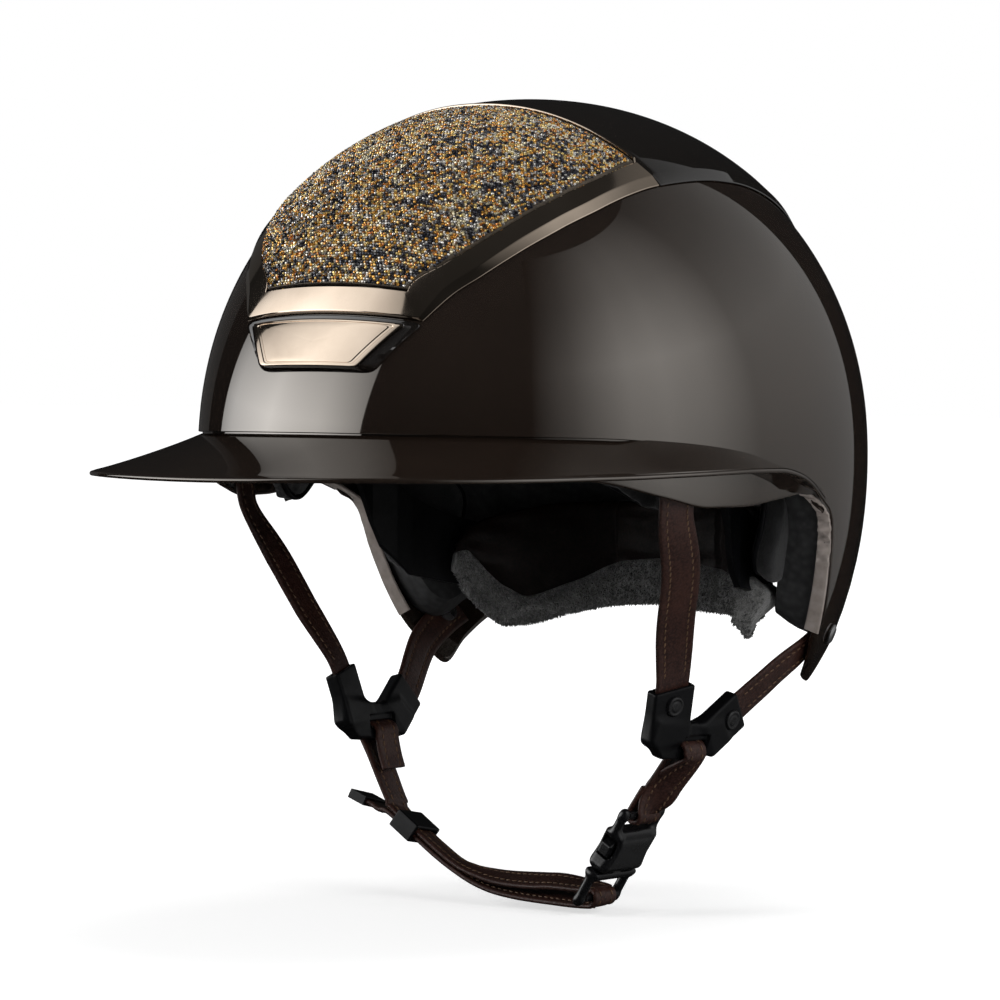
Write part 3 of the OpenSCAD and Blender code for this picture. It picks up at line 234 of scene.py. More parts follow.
# %% Node groups for grain, mottle and nap
def group(name, inputs, outputs):
    made = bpy.data.node_groups.new(name, "ShaderNodeTree")
    for label, kind, value in inputs:
        socket = made.interface.new_socket(label, in_out="INPUT", socket_type="NodeSocket" + kind)
        socket.default_value = value
    for label, kind in outputs:
        made.interface.new_socket(label, in_out="OUTPUT", socket_type="NodeSocket" + kind)
    return made, made.nodes.new("NodeGroupInput").outputs, made.nodes.new("NodeGroupOutput")


def blend_colours(tree, factor, a, b):
    return add(tree, "ShaderNodeMix", {0: factor, 6: a, 7: b}, data_type="RGBA").outputs[2]


def between(tree, value, low, high):
    return add(tree, "ShaderNodeMapRange",
               {"Value": value, "To Min": low, "To Max": high}).outputs[0]


def make_pebble():
    tree, given, out = group("pebble", [("Scale", "Float", 1500), ("Dark", "Color", (0, 0, 0, 1)),
                                        ("Light", "Color", (1, 1, 1, 1)),
                                        ("Polished", "Float", 0.3), ("Dull", "Float", 0.5)],
                             [("Color", "Color"), ("Roughness", "Float"), ("Height", "Float")])
    place = add(tree, "ShaderNodeTexCoord").outputs["Object"]
    warp = add(tree, "ShaderNodeTexNoise", {"Vector": place, "Scale": 260, "Detail": 3})
    cells = add(tree, "ShaderNodeTexVoronoi", {"Vector": place, "Scale": given["Scale"]},
                feature="SMOOTH_F1")
    slow = add(tree, "ShaderNodeTexNoise", {"Vector": place, "Scale": 55, "Detail": 5,
                                            "Roughness": 0.65})
    height = add(tree, "ShaderNodeMath", {0: cells.outputs["Distance"], 1: warp.outputs["Fac"]},
                 operation="ADD")
    tone = add(tree, "ShaderNodeMath", {0: slow.outputs["Fac"], 1: cells.outputs["Distance"]},
               operation="MULTIPLY")
    tone = ramp(tree, tone.outputs[0], [(0.05, 1), (0.32, 0)])
    tree.links.new(blend_colours(tree, tone, given["Dark"], given["Light"]), out.inputs["Color"])
    tree.links.new(add(tree, "ShaderNodeMapRange", {"Value": slow.outputs["Fac"], "From Min": 0.3,
                                                    "From Max": 0.7, "To Min": given["Polished"],
                                                    "To Max": given["Dull"]}).outputs[0],
                   out.inputs["Roughness"])
    tree.links.new(height.outputs[0], out.inputs["Height"])
    return tree


def make_mottle():
    tree, given, out = group("mottle", [("Scale", "Float", 30), ("Dark", "Color", (0, 0, 0, 1)),
                                        ("Light", "Color", (1, 1, 1, 1)),
                                        ("Polished", "Float", 0.03), ("Dull", "Float", 0.08)],
                             [("Color", "Color"), ("Roughness", "Float"), ("Height", "Float")])
    place = add(tree, "ShaderNodeTexCoord").outputs["Object"]
    slow = add(tree, "ShaderNodeTexNoise", {"Vector": place, "Scale": given["Scale"], "Detail": 4})
    fine = add(tree, "ShaderNodeTexNoise", {"Vector": place, "Scale": 900, "Detail": 2})
    soft = add(tree, "ShaderNodeMapRange", {"Value": slow.outputs["Fac"], "From Min": 0.3,
                                            "From Max": 0.7})
    tree.links.new(blend_colours(tree, soft.outputs[0], given["Dark"], given["Light"]),
                   out.inputs["Color"])
    tree.links.new(between(tree, soft.outputs[0], given["Polished"], given["Dull"]),
                   out.inputs["Roughness"])
    tree.links.new(fine.outputs["Fac"], out.inputs["Height"])
    return tree


def make_nap():
    tree, given, out = group("nap", [("Scale", "Float", 700), ("Dark", "Color", (0, 0, 0, 1)),
                                     ("Light", "Color", (1, 1, 1, 1))],
                             [("Color", "Color"), ("Height", "Float")])
    place = add(tree, "ShaderNodeTexCoord").outputs["Object"]
    tufts = add(tree, "ShaderNodeTexNoise", {"Vector": place, "Scale": 160, "Detail": 6,
                                             "Roughness": 0.7})
    fibre = add(tree, "ShaderNodeTexNoise", {"Vector": place, "Scale": given["Scale"], "Detail": 4,
                                             "Distortion": 1.5})
    tone = add(tree, "ShaderNodeMath", {0: tufts.outputs["Fac"], 1: fibre.outputs["Fac"]},
               operation="MULTIPLY")
    tone = ramp(tree, tone.outputs[0], [(0.12, 0), (0.36, 1)])
    height = add(tree, "ShaderNodeMath", {0: tufts.outputs["Fac"], 1: fibre.outputs["Fac"]},
                 operation="ADD")
    tree.links.new(blend_colours(tree, tone, given["Dark"], given["Light"]), out.inputs["Color"])
    tree.links.new(height.outputs[0], out.inputs["Height"])
    return tree


effects = {"pebble": make_pebble(), "mottle": make_mottle(), "nap": make_nap()}
print("node groups:", list(effects))

# %% [markdown]
# ## Materials
# Colour, polish and relief vary with the effect, while metal, coat and index of refraction are
# plain numbers on the shader. The lacquer is a very dark brown that owes its look to its
# reflections, so its index of refraction is high. The trim is a champagne metal, the straps are
# oiled brown leather, and the fittings are nylon.

# %% Materials
def finish(name, effect, values, relief=0.0, **shader):
    material = bpy.data.materials.new(name)
    tree = nodes_of(material)
    place = add(tree, "ShaderNodeGroup", node_tree=effects[effect])
    for key, value in values.items():
        place.inputs[key].default_value = (*value, 1) if isinstance(value, tuple) else value
    surface = add(tree, "ShaderNodeBsdfPrincipled", {"Base Color": place.outputs["Color"]})
    if "Roughness" in place.outputs:
        tree.links.new(place.outputs["Roughness"], surface.inputs["Roughness"])
    for key, value in shader.items():
        surface.inputs[key.replace("_", " ")].default_value = value
    if relief:
        bump = add(tree, "ShaderNodeBump", {"Height": place.outputs["Height"], "Distance": relief})
        bump.inputs["Strength"].default_value = 1
        tree.links.new(bump.outputs[0], surface.inputs["Normal"])
    add(tree, "ShaderNodeOutputMaterial", {"Surface": surface.outputs[0]})
    return material


lacquer = finish("brown_lacquer", "mottle",
                 dict(Scale=18, Dark=(0.012, 0.008, 0.006), Light=(0.018, 0.012, 0.009),
                      Polished=0.02, Dull=0.045), IOR=2.15, Specular_Tint=(1, 0.94, 0.87, 1))
cover_black = finish("cover_lacquer", "mottle",
                     dict(Scale=20, Dark=(0.006, 0.005, 0.004), Light=(0.010, 0.008, 0.007),
                          Polished=0.02, Dull=0.05), IOR=1.9)
champagne = finish("champagne_metal", "mottle",
                   dict(Scale=60, Dark=(0.53, 0.435, 0.345), Light=(0.62, 0.515, 0.415),
                        Polished=0.05, Dull=0.11), Metallic=1.0)
steel = finish("steel", "mottle", dict(Scale=90, Dark=(0.42, 0.42, 0.43), Light=(0.6, 0.6, 0.6),
                                       Polished=0.2, Dull=0.36), Metallic=1.0)
leather = finish("brown_leather", "pebble",
                 dict(Scale=1300, Dark=(0.020, 0.0078, 0.0060), Light=(0.047, 0.019, 0.0135),
                      Polished=0.36, Dull=0.54), relief=0.00012, Specular_IOR_Level=0.35)
thread = finish("strap_thread", "nap", dict(Scale=2500, Dark=(0.05, 0.026, 0.014),
                                            Light=(0.15, 0.085, 0.045)), Roughness=0.6)
nylon = finish("matte_nylon", "pebble",
               dict(Scale=2400, Dark=(0.0025, 0.0026, 0.0031), Light=(0.005, 0.0052, 0.006),
                    Polished=0.3, Dull=0.44), relief=0.00003, Specular_IOR_Level=0.18)
gloss_nylon = finish("gloss_nylon", "pebble",
                     dict(Scale=2600, Dark=(0.0035, 0.0035, 0.004), Light=(0.007, 0.007, 0.0078),
                          Polished=0.2, Dull=0.32), relief=0.00001)
foam = finish("grey_foam", "pebble", dict(Scale=420, Dark=(0.018, 0.018, 0.019),
                                          Light=(0.034, 0.034, 0.035), Polished=0.6, Dull=0.75),
              relief=0.0002)
cloth = finish("pad_cloth", "nap", dict(Scale=1700, Dark=(0.004, 0.004, 0.0045),
                                        Light=(0.013, 0.013, 0.014)), relief=0.0003,
               Roughness=0.9, Sheen_Weight=0.15)
fleece = finish("grey_fleece", "nap", dict(Scale=900, Dark=(0.030, 0.030, 0.029),
                                           Light=(0.17, 0.17, 0.165)), relief=0.0009,
                Roughness=0.95, Sheen_Weight=0.5)
pale_nylon = finish("pale_nylon", "pebble", dict(Scale=2200, Dark=(0.5, 0.5, 0.46),
                                                 Light=(0.62, 0.62, 0.58), Polished=0.4, Dull=0.5),
                    relief=0.00002)
print("materials:", len(bpy.data.materials))

# %% [markdown]
# ## The form in code
# The dome is a super-ellipsoid: an ellipsoid a little squarer than a true one. Every panel lies on
# it or a fixed distance off it, so the same few functions place the shell, the brim, the crown
# pieces, the foam and the pads. Directions in plan are degrees from the front towards the left.
# Edges that wander, such as the rim, are smooth curves through a few measured places.

# %% The dome and its edges
power = 2.1
half_wide, front_deep, rear_deep, dome_high, dome_low = 113.0, 131.0, 138.0, 129.0, 143.0


def half_height(z, o):
    return np.where(z > 0, dome_high, dome_low) + o


def shrink(z, o):
    return np.maximum(1 - (np.abs(z) / half_height(z, o)) ** power, 0) ** (1 / power)


def plan_reach(u, o):
    s, c = np.abs(np.sin(np.radians(u))), np.cos(np.radians(u))
    deep = np.where(c > 0, front_deep, rear_deep) + o
    return ((s / (half_wide + o)) ** power + (np.abs(c) / deep) ** power) ** (-1 / power)


def polar(u, r, z):
    u, r, z = np.broadcast_arrays(np.radians(u), r, z)
    return np.stack([r * np.sin(u), -r * np.cos(u), z], -1).astype(float)


def at_height(u, z, o):
    return polar(u, plan_reach(u, o) * shrink(z, o), z)


def rise_angle(z):
    return np.sign(z) * np.degrees(np.arcsin((np.abs(z) / half_height(z, 0)) ** (power / 2)))


def at_angle(u, v, o):
    v = np.radians(v)
    return polar(u, plan_reach(u, o) * np.abs(np.cos(v)) ** (2 / power),
                 np.sign(v) * half_height(v, o) * np.abs(np.sin(v)) ** (2 / power))


def on_crown(x, b, o):
    b = np.radians(b)
    deep = np.where(b < math.pi / 2, front_deep, rear_deep) + o
    r = ((np.abs(np.cos(b)) / deep) ** power + (np.abs(np.sin(b)) / (dome_high + o)) ** power)
    r = r ** (-1 / power) * (1 - (np.abs(x) / (half_wide + o)) ** power) ** (1 / power)
    x, y, z = np.broadcast_arrays(x, -np.cos(b) * r, np.sin(b) * r)
    return np.stack([x, y, z], -1).astype(float)


def unit(v):
    return v / np.linalg.norm(v, axis=-1, keepdims=True)


def outward(p):
    size = np.stack([np.full(p.shape[:-1], half_wide),
                     np.where(p[..., 1] < 0, front_deep, rear_deep),
                     np.where(p[..., 2] > 0, dome_high, dome_low)], -1)
    return unit(np.sign(p) * (np.abs(p) / size) ** (power - 1) / size)


def curve(*keys):
    """Smooth curve through (place, value) pairs that never overshoots them."""
    x, y = np.array(keys, float).T
    h = np.diff(x)
    d = np.diff(y) / h
    m = np.zeros_like(x)
    same = d[:-1] * d[1:] > 0
    m[1:-1][same] = 2 * (d[:-1] * d[1:])[same] / (d[:-1] + d[1:])[same]
    m[-1] = d[-1]

    def value(t):
        t = np.clip(np.abs(t), x[0], x[-1])
        i = np.clip(np.searchsorted(x, t, side="right") - 1, 0, len(h) - 1)
        s = (t - x[i]) / h[i]
        return (y[i] * (1 + 2 * s) * (1 - s) ** 2 + m[i] * h[i] * s * (1 - s) ** 2
                + y[i + 1] * s * s * (3 - 2 * s) + m[i + 1] * h[i] * s * s * (s - 1))
    return value


rim_z = curve((0, -3), (46, -5), (60, -11), (70, -15), (78, -15), (88, -13), (98.5, -11),
              (102, -16), (105, -18.5), (107.7, -22), (109.1, -36.4), (111.4, -50), (114.5, -64),
              (118.6, -74), (123.5, -82), (129, -73), (136, -63), (144, -55), (152, -50),
              (159, -43), (165, -33), (172, -29), (180, -29))
crease_low = curve((0, 10.7), (46, 9.1), (60, 7.3), (67, 6), (77, 3.2), (85, -0.8), (94, -8),
                   (98.5, -9), (102, -11), (107, -14), (114, -26), (124, -34), (136, -30),
                   (150, -22), (165, -12), (180, -10))
brim_out = curve((0, 58.5), (8, 57.5), (16, 54.5), (24, 49), (32, 41), (39, 33), (46, 25.5),
                 (53, 23), (60, 20.5), (67, 18), (74, 15.5), (81, 12.5), (88, 9), (94, 6),
                 (98.5, 3.5), (102, 2))
brim_edge = curve((0, -3.4), (20, -3), (32, -3.4), (46, -3.2), (60, -2.4), (74, -1.8), (81, -2),
                  (88, -4), (94, -7.5), (98.5, -11), (102, -14))
band_half = curve((14, 24), (23, 39), (29, 47), (33, 53), (40, 60.6), (48, 66.9), (58, 71.8),
                  (70, 74.3), (83, 75.5), (98, 74.5), (108, 72.6), (116, 70.4), (130, 64),
                  (145, 52.5), (155, 42.5), (166, 30.5))
crystal_half = curve((28, 31.3), (33.6, 40.8), (39.7, 49.6), (47.2, 56.5), (55.6, 61.8),
                     (65.5, 65.3), (76, 66))


def crease_z(u):
    return np.maximum(crease_low(u), rim_z(u) + 2.5)


def recess(u):
    return 1.5 * np.clip((102.5 - np.abs(u)) / 2, 0, 1)


def all_round(*spans):
    """Plan directions from (start, end, step) spans on the left, then their mirror images."""
    half = np.concatenate([np.arange(a, b - 1e-6, s) for a, b, s in spans] + [[spans[-1][1]]])
    return np.concatenate([half, -half[-2:0:-1]])


def circle(count):
    """Angles in radians that part a full turn evenly."""
    return np.linspace(0, 2 * math.pi, count + 1)[:-1]


def run_length(path):
    """Distance along a path at each of its places."""
    return np.concatenate([[0], np.cumsum(np.linalg.norm(np.diff(path, axis=0), axis=1))])


print("rim at the temple:", round(float(rim_z(74)), 1), "mm, at the wing tip:",
      round(float(rim_z(123.5)), 1), "mm")

# %% [markdown]
# ## From nets of points to pieces
# Nearly everything here is a net: rows of points that become faces between neighbours. `net()`
# makes the faces, `swept()` takes rows that run along a path, `domed()` closes both ends to a
# point, and `piece()` turns one or more nets into an object. It hides the CAD solids that the
# object stands for, hangs it on the body it moves with, and gives it its finish.
# Welding doubled points and then marking sharp edges keeps small radii crisp under smooth shading.

# %% Nets, pieces and joins
def net(rows, ring=False, loop=False, caps=False):
    """Faces between rows of points. ring joins the last row to the first, loop joins each row's
    last point to its first, and caps closes the first and the last row."""
    rows = np.asarray(rows, float)
    n, m = rows.shape[:2]
    faces = []
    for i in range(n if ring else n - 1):
        k = (i + 1) % n
        for j in range(m if loop else m - 1):
            l = (j + 1) % m
            faces.append((i * m + j, k * m + j, k * m + l, i * m + l))
    if caps:
        faces.append(tuple(range(m)))
        faces.append(tuple((n - 1) * m + j for j in range(m)))
    return rows.reshape(-1, 3), faces


def swept(rows, **ends):
    """Net from rows that each follow one line of a section along a path."""
    return net(np.transpose(np.array(rows), (1, 0, 2)), loop=True, **ends)


def domed(rows, *tops):
    """Net of closed rows whose first and last row each run to a point at the top."""
    points, faces = net(rows, loop=True)
    m, end = len(rows[0]), (len(rows) - 1) * len(rows[0])
    faces += [(j, (j + 1) % m, len(points)) for j in range(m)]
    faces += [(end + j, end + (j + 1) % m, len(points) + 1) for j in range(m)]
    return np.concatenate([points, tops]), faces


def repeated(faces, size, count):
    """The faces of one small form of some size in points, once for each of its copies."""
    return [tuple(i + size * k for i in face) for k in range(count) for face in faces]


def mirrored(part):
    return part[0] * [-1, 1, 1], [face[::-1] for face in part[1]]


def joined(parts):
    points, faces, base = [], [], 0
    for p, f in parts:
        points.append(p)
        faces += [tuple(i + base for i in face) for face in f]
        base += len(p)
    return np.concatenate(points), faces


def piece(name, parts, material, body, nodes=(), sharp=38, weld=1e-6, smooth=True):
    points, faces = joined(parts)
    mesh = bpy.data.meshes.new(name)
    mesh.from_pydata((points * 0.001).tolist(), [], faces)
    bm = bmesh.new()
    bm.from_mesh(mesh)
    if weld:
        bmesh.ops.remove_doubles(bm, verts=bm.verts, dist=weld)
        bmesh.ops.dissolve_degenerate(bm, edges=bm.edges, dist=1e-7)
    bmesh.ops.recalc_face_normals(bm, faces=bm.faces)
    bm.to_mesh(mesh)
    bm.free()
    if smooth:
        mesh.shade_smooth()
        mesh.set_sharp_from_angle(angle=math.radians(sharp))
    mesh.materials.append(material)
    thing = bpy.data.objects.new(name, mesh)
    scene.collection.objects.link(thing)
    if body:
        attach(thing, body)
    if nodes:
        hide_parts(*nodes)
    return thing


# %% [markdown]
# ## Shell
# The real shell is a moulded dome with a lacquered skin, 3 mm thick. Below a crisp line it steps
# in by 1.5 mm, and the brim's collar seats there. Behind the brim the line goes on as a soft crease
# over the wings. The net runs from the inner crown down to the rim, round the rim's small radius
# and back up the outside, so the piece is closed and its edge catches the light.

# %% Shell
shell_thick, rim_round = 3.0, 1.1
around = all_round((0, 98, 1.4), (98, 107, 0.45), (107, 116, 0.25), (116, 131, 0.5),
                   (131, 180, 1.25))
lip = rise_angle(rim_z(around))
line = rise_angle(crease_z(around))
sunk = recess(around)
rows = [at_angle(around, lip + (90 - lip) * t, -shell_thick)
        for t in np.linspace(0.999, 0, 26) ** 1.2]
for a in np.linspace(0, 180, 9)[1:-1]:
    a = math.radians(a)
    o = -shell_thick + (shell_thick - sunk) * (1 - math.cos(a)) / 2
    rows.append(at_angle(around, lip, o) - np.array([0, 0, rim_round * math.sin(a)]))
rows += [at_angle(around, lip + (line - lip) * t, -sunk) for t in (0, 0.25, 0.5, 0.75, 0.92, 1)]
rows += [at_angle(around, line + d, -sunk * (1 - t))
         for d, t in ((0.02, 0.6), (0.05, 0.9), (0.1, 1))]
rows += [at_angle(around, line + 0.25 + (89.9 - line - 0.25) * t, 0)
         for t in np.linspace(0, 1, 70)]
shell = domed(rows, [0, 0, dome_high - shell_thick], [0, 0, dome_high])
piece("shell_lacquered", [shell], lacquer, "helmet", ["shell"], sharp=28)
print("shell:", len(shell[1]), "faces")

# %% [markdown]
# ## Brim
# The brim is a separate moulding. Its collar seats on the shell's step, its top falls away from
# the dome in a shallow curve, and its edge is a rounded bead under 2 mm thick. It reaches 58 mm
# out at the front, narrows beside the temples and runs out at the wings.

# %% Brim
root_thick, edge_thick = 4.5, 1.7


def flush(u):
    """0 where the brim starts under a groove, 1 beside the temples where it lies flush."""
    t = np.clip((np.abs(u) - 50) / 7, 0, 1)
    return t * t * (3 - 2 * t)


def brim_inner(u, z):
    o = 0.3 - recess(u)
    return plan_reach(u, o) * shrink(z, o)


def brim_top(u, s):
    root = crease_z(u) - 0.6 + 1.1 * flush(u)
    lift = (recess(u) - 0.27) * flush(u)
    r_in = brim_inner(u, root) + lift
    r_out = plan_reach(u, 0) * shrink(root, 0) + brim_out(u)
    z = root + (brim_edge(u) - root) * (1 - (1 - s) ** 1.12)
    return r_in + (r_out - r_in) * s, z


def brim_drop(u, s):
    room = crease_z(u) - 0.9 - rim_z(u) - 0.8
    full = root_thick + (edge_thick - root_thick) * np.minimum(1, 2.5 * s)
    return np.maximum(np.where(s == 0, np.minimum(6.5, room), full), 1.2)


half = np.concatenate([np.arange(0, 92, 1.25), np.arange(92, 102.01, 0.5)])
along = np.concatenate([-half[:0:-1], half])
shares = np.linspace(0, 1, 26) ** 1.15
rows = []
for s in shares[:-1]:
    r, z = brim_top(along, s)
    rows.append(polar(along, r, z))
r_edge, z_edge = brim_top(along, 1.0)
thick = brim_drop(along, 1.0)
for a in np.linspace(0, 180, 9):
    a = math.radians(a)
    rows.append(polar(along, r_edge - thick / 2 * (1 - math.sin(a)),
                      z_edge - thick / 2 * (1 - math.cos(a))))
for s in shares[::-1][2:-1]:
    r, z = brim_top(along, s)
    rows.append(polar(along, r - 0.2, z - brim_drop(along, s)))
z = brim_top(along, 0.0)[1] - brim_drop(along, 0.0)
rows.append(polar(along, brim_inner(along, z), z))
brim = swept(rows, caps=True)
piece("brim_lacquered", [brim], lacquer, "helmet", ["brim"], sharp=30)
print("brim:", len(brim[1]), "faces")

# %% [markdown]
# ## Folded rim
# The front edge of each wing is a hem: the covering is folded over a cord and pressed flat, so
# it shows as a narrow band. Its pale colour is a painted highlight on the dark covering. Near its
# upper end it is crinkled, which breaks up its reflection.

# %% Rim trims
hem = np.array([(114.5, -64), (112.8, -57), (111.4, -50), (110.2, -43), (109.1, -36.4),
                (108.2, -29), (107.2, -23), (105.6, -19), (103.4, -16.6), (100.5, -13.6),
                (97, -11.4)])
steps = np.linspace(0, len(hem) - 1, 150)
hem_u, hem_z = (np.interp(steps, range(len(hem)), hem[:, k]) for k in (0, 1))
for _ in range(12):
    hem_u[1:-1] = (hem_u[:-2] + 2 * hem_u[1:-1] + hem_u[2:]) / 4
    hem_z[1:-1] = (hem_z[:-2] + 2 * hem_z[1:-1] + hem_z[2:]) / 4
edge = at_height(hem_u, hem_z, 0)
along = unit(np.gradient(edge, axis=0))
out = outward(edge)
clear = unit(np.cross(out, along))
clear *= np.sign(-clear[:, 1:2])
s = np.linspace(0, 1, len(edge))
high = np.clip((hem_z + 42) / 7, 0, 1) * (1 - 0.75 * np.clip((hem_z + 24) / 6, 0, 1))


def hem_band(amount, deep):
    """Flat band along the edge. amount is how far it crinkles, deep how far it reaches in."""
    deep = deep - 1.6 * s
    rows = []
    for a in circle(24):
        c, d = math.cos(a), math.sin(a)
        across = math.copysign(abs(c) ** 0.5, c)
        into = math.copysign(abs(d) ** 0.35, d)
        crinkle = amount * high * (0.6 * np.sin(s * 61 + 1.6 * into)
                                   + 0.5 * np.sin(s * 103 - 2.4 * into)
                                   + 0.4 * np.sin(s * 37 + into)) + 0.06 * np.sin(s * 45)
        ripple = crinkle * (0.5 + 0.5 * c) * 0.45
        rise = -deep / 2 + deep / 2 * into + 0.05 + crinkle * 0.12 * math.sin(3 * a)
        rows.append(edge + clear * (0.62 * across + 0.35 + ripple)[:, None] + out * rise[:, None])
    return swept(rows, caps=True)


near_band, far_band = hem_band(1.7, 5.8), mirrored(hem_band(0.2, 7.0))
size = 0.55 * np.clip(s / 0.1, 0.1, 1)
seam = swept([edge - clear * 1.6 + clear * (size * math.cos(a))[:, None]
              + out * (size * math.sin(a) * 0.8)[:, None] for a in circle(10)], caps=True)
# The hem's pale colour is a painted highlight along the folded edge of the dark covering.
hem_painted_highlight = finish("folded_hem_painted_highlight", "mottle", dict(Scale=240, Dark=(0.29, 0.25, 0.225),
                                                Light=(0.41, 0.36, 0.33), Polished=0.1, Dull=0.22),
                   relief=0.00006, Metallic=0.15)
piece("rim_trims_folded", [near_band, far_band], hem_painted_highlight, "helmet", ["rim_trims"])
piece("rim_welts", [seam, mirrored(seam)], lacquer, "helmet", [])
print("rim trims: 2 bands of", len(near_band[1]), "faces")

# %% [markdown]
# ## Crown frame
# The frame is a bent metal channel in the shape of a U, open to the rear, with mitred corners at
# the front. Its section is a foot on the shell, a polished bevel, a flat face, and a small step
# down to the crystals. The section walks once round the U. The bevel is nearly 3 mm wide on the
# side legs and narrows at the corners, to less than 1 mm on the front strip.

# %% Frame, rear cover, strip and badge
def crown_loft(outer, inner, profile, closed=False):
    """Net between an outer and an inner line on the crown, each a list of (x, height angle).
    profile gives (kind, place, rise): mm from the outer line, in from the inner one, or a share
    of the width between them."""
    outer, inner = np.asarray(outer, float), np.asarray(inner, float)
    width = np.linalg.norm(on_crown(outer[:, 0], outer[:, 1], 1.0)
                           - on_crown(inner[:, 0], inner[:, 1], 1.0), axis=1)
    rows = []
    for kind, place, rise in profile:
        t = place / width if kind == "mm" else 1 - place / width if kind == "in" else place
        t = np.broadcast_to(t, width.shape)
        x = outer[:, 0] + (inner[:, 0] - outer[:, 0]) * t
        b = outer[:, 1] + (inner[:, 1] - outer[:, 1]) * t
        rows.append(on_crown(x, b, rise(b) if callable(rise) else rise))
    return swept(rows, ring=closed, caps=not closed)


def u_line(half, rear, front):
    """Line down the left leg of the U, across its front and up the right leg."""
    leg = [(float(half(b)), b) for b in np.linspace(rear, front, 60)]
    across = [(x * float(half(front)), front) for x in np.linspace(1, -1, 40)[1:-1]]
    return leg + across + [(-x, b) for x, b in leg[::-1]]


frame_rear, frame_front, panel_front, face_rise = 75.45, 23.2, 27.6, 1.7
outer = u_line(band_half, frame_rear, frame_front)
inner = u_line(lambda b: crystal_half(b) + 0.5, frame_rear, panel_front)
place = np.arange(len(outer))
bevel = np.interp(np.minimum(place, place[::-1]), (54, 60), (2.75, 0.7))
section = [("mm", 0.05, 0.5), ("mm", 0, 0.62), ("mm", 0.08, 0.78), ("mm", bevel, 1.55),
           ("mm", bevel + 0.25, 1.66), ("mm", bevel + 0.55, face_rise), ("in", 0.5, face_rise),
           ("in", 0.2, 1.62), ("in", 0.0, 1.4), ("in", 0.0, 0.5)]
piece("crown_frame_bent", [crown_loft(outer, inner, section)], champagne, "helmet",
      ["crown_frame"], sharp=14)

cover_front, cover_end = 75.95, 163
angles = np.linspace(cover_front, cover_end, 110)
side = np.linspace(-1, 1, 61)
cover_rows = []
for b in angles:
    h = float(band_half(b))
    fade = min(1.0, (cover_end - b) / 1.2 + 0.45, (b - cover_front) / 0.5 + 0.6)
    x = np.concatenate([[-h, -h], -h + np.array([0.08, 2.75, 3.1]), side[3:-3] * (h - 3.4),
                        h - np.array([3.1, 2.75, 0.08]), [h, h]])
    rise = np.concatenate([[0.5, 0.62, 0.8, 1.6], np.full(len(side) - 4, face_rise),
                           [1.6, 0.8, 0.62, 0.5]])
    rise = np.where(rise > 0.62, 0.5 + (rise - 0.5) * fade, rise)
    cover_rows.append(np.concatenate([on_crown(x, b, rise), on_crown(x[1:-1][::-1], b, 0.5)]))
points, faces = net(cover_rows, loop=True, caps=True)
m = len(cover_rows[0])


def over(i, j):
    return i * m + j


def under(i, j):
    return i * m + m - j


vent_rows = [int(np.searchsorted(angles, v)) for v in (138.8, 143.6)]
places = x / (h - 2.2)
for share in (-1, 1):
    cols = np.nonzero((places * share > 0.2) & (places * share < 0.62))[0]
    cols = (cols[0], cols[-1])
    hole = {frozenset((f(i, j), f(i + 1, j), f(i + 1, j + 1), f(i, j + 1)))
            for i in range(*vent_rows) for j in range(*cols) for f in (over, under)}
    faces = [face for face in faces if frozenset(face) not in hole]
    edge = [(vent_rows[0], j) for j in range(*cols)] + [(i, cols[1]) for i in range(*vent_rows)]
    edge += [(vent_rows[1], j) for j in range(cols[1], cols[0], -1)]
    edge += [(i, cols[0]) for i in range(vent_rows[1], vent_rows[0], -1)]
    faces += [(over(*p), over(*q), under(*q), under(*p)) for p, q in zip(edge, edge[1:] + edge[:1])]
piece("rear_cover_moulded", [(points, faces)], cover_black, "helmet", ["rear_cover"],
      sharp=24)

bar = np.linspace(-66, 66, 90)
bar_section = ((75.17, 0.5), (75.15, 2.3), (75.2, 2.55), (75.32, 2.7), (75.5, 2.7),
               (75.62, 2.55), (75.68, 2.3), (75.67, 0.5))
piece("crystal_edge_bar", [swept([on_crown(bar, b, o) for b, o in bar_section], caps=True)],
      champagne, "helmet", ["crystal_edge_strip"], sharp=50)


def proud(extra):
    """The badge leans out: its lower edge stands further off the crown than its upper edge."""
    return lambda b: extra + np.interp(b, (14.5, 22.2), (4.5, 1.3))


def trapezium(low, high, wide_low, wide_high, count=40):
    """Corner-to-corner line round a place that is wider above than below."""
    t = np.linspace(0, 1, count, endpoint=False)
    ring = [(wide_low * (1 - 2 * s), low) for s in t]
    ring += [(-wide_low - (wide_high - wide_low) * s, low + (high - low) * s) for s in t]
    ring += [(wide_high * (2 * s - 1), high) for s in t]
    return ring + [(wide_high - (wide_high - wide_low) * s, high - (high - low) * s) for s in t]


def rounded(ring, rounds):
    """The same line with its corners rounded by averaging neighbours."""
    line = np.array(ring)
    for _ in range(rounds):
        line = (np.roll(line, 1, 0) + 2 * line + np.roll(line, -1, 0)) / 4
    return line


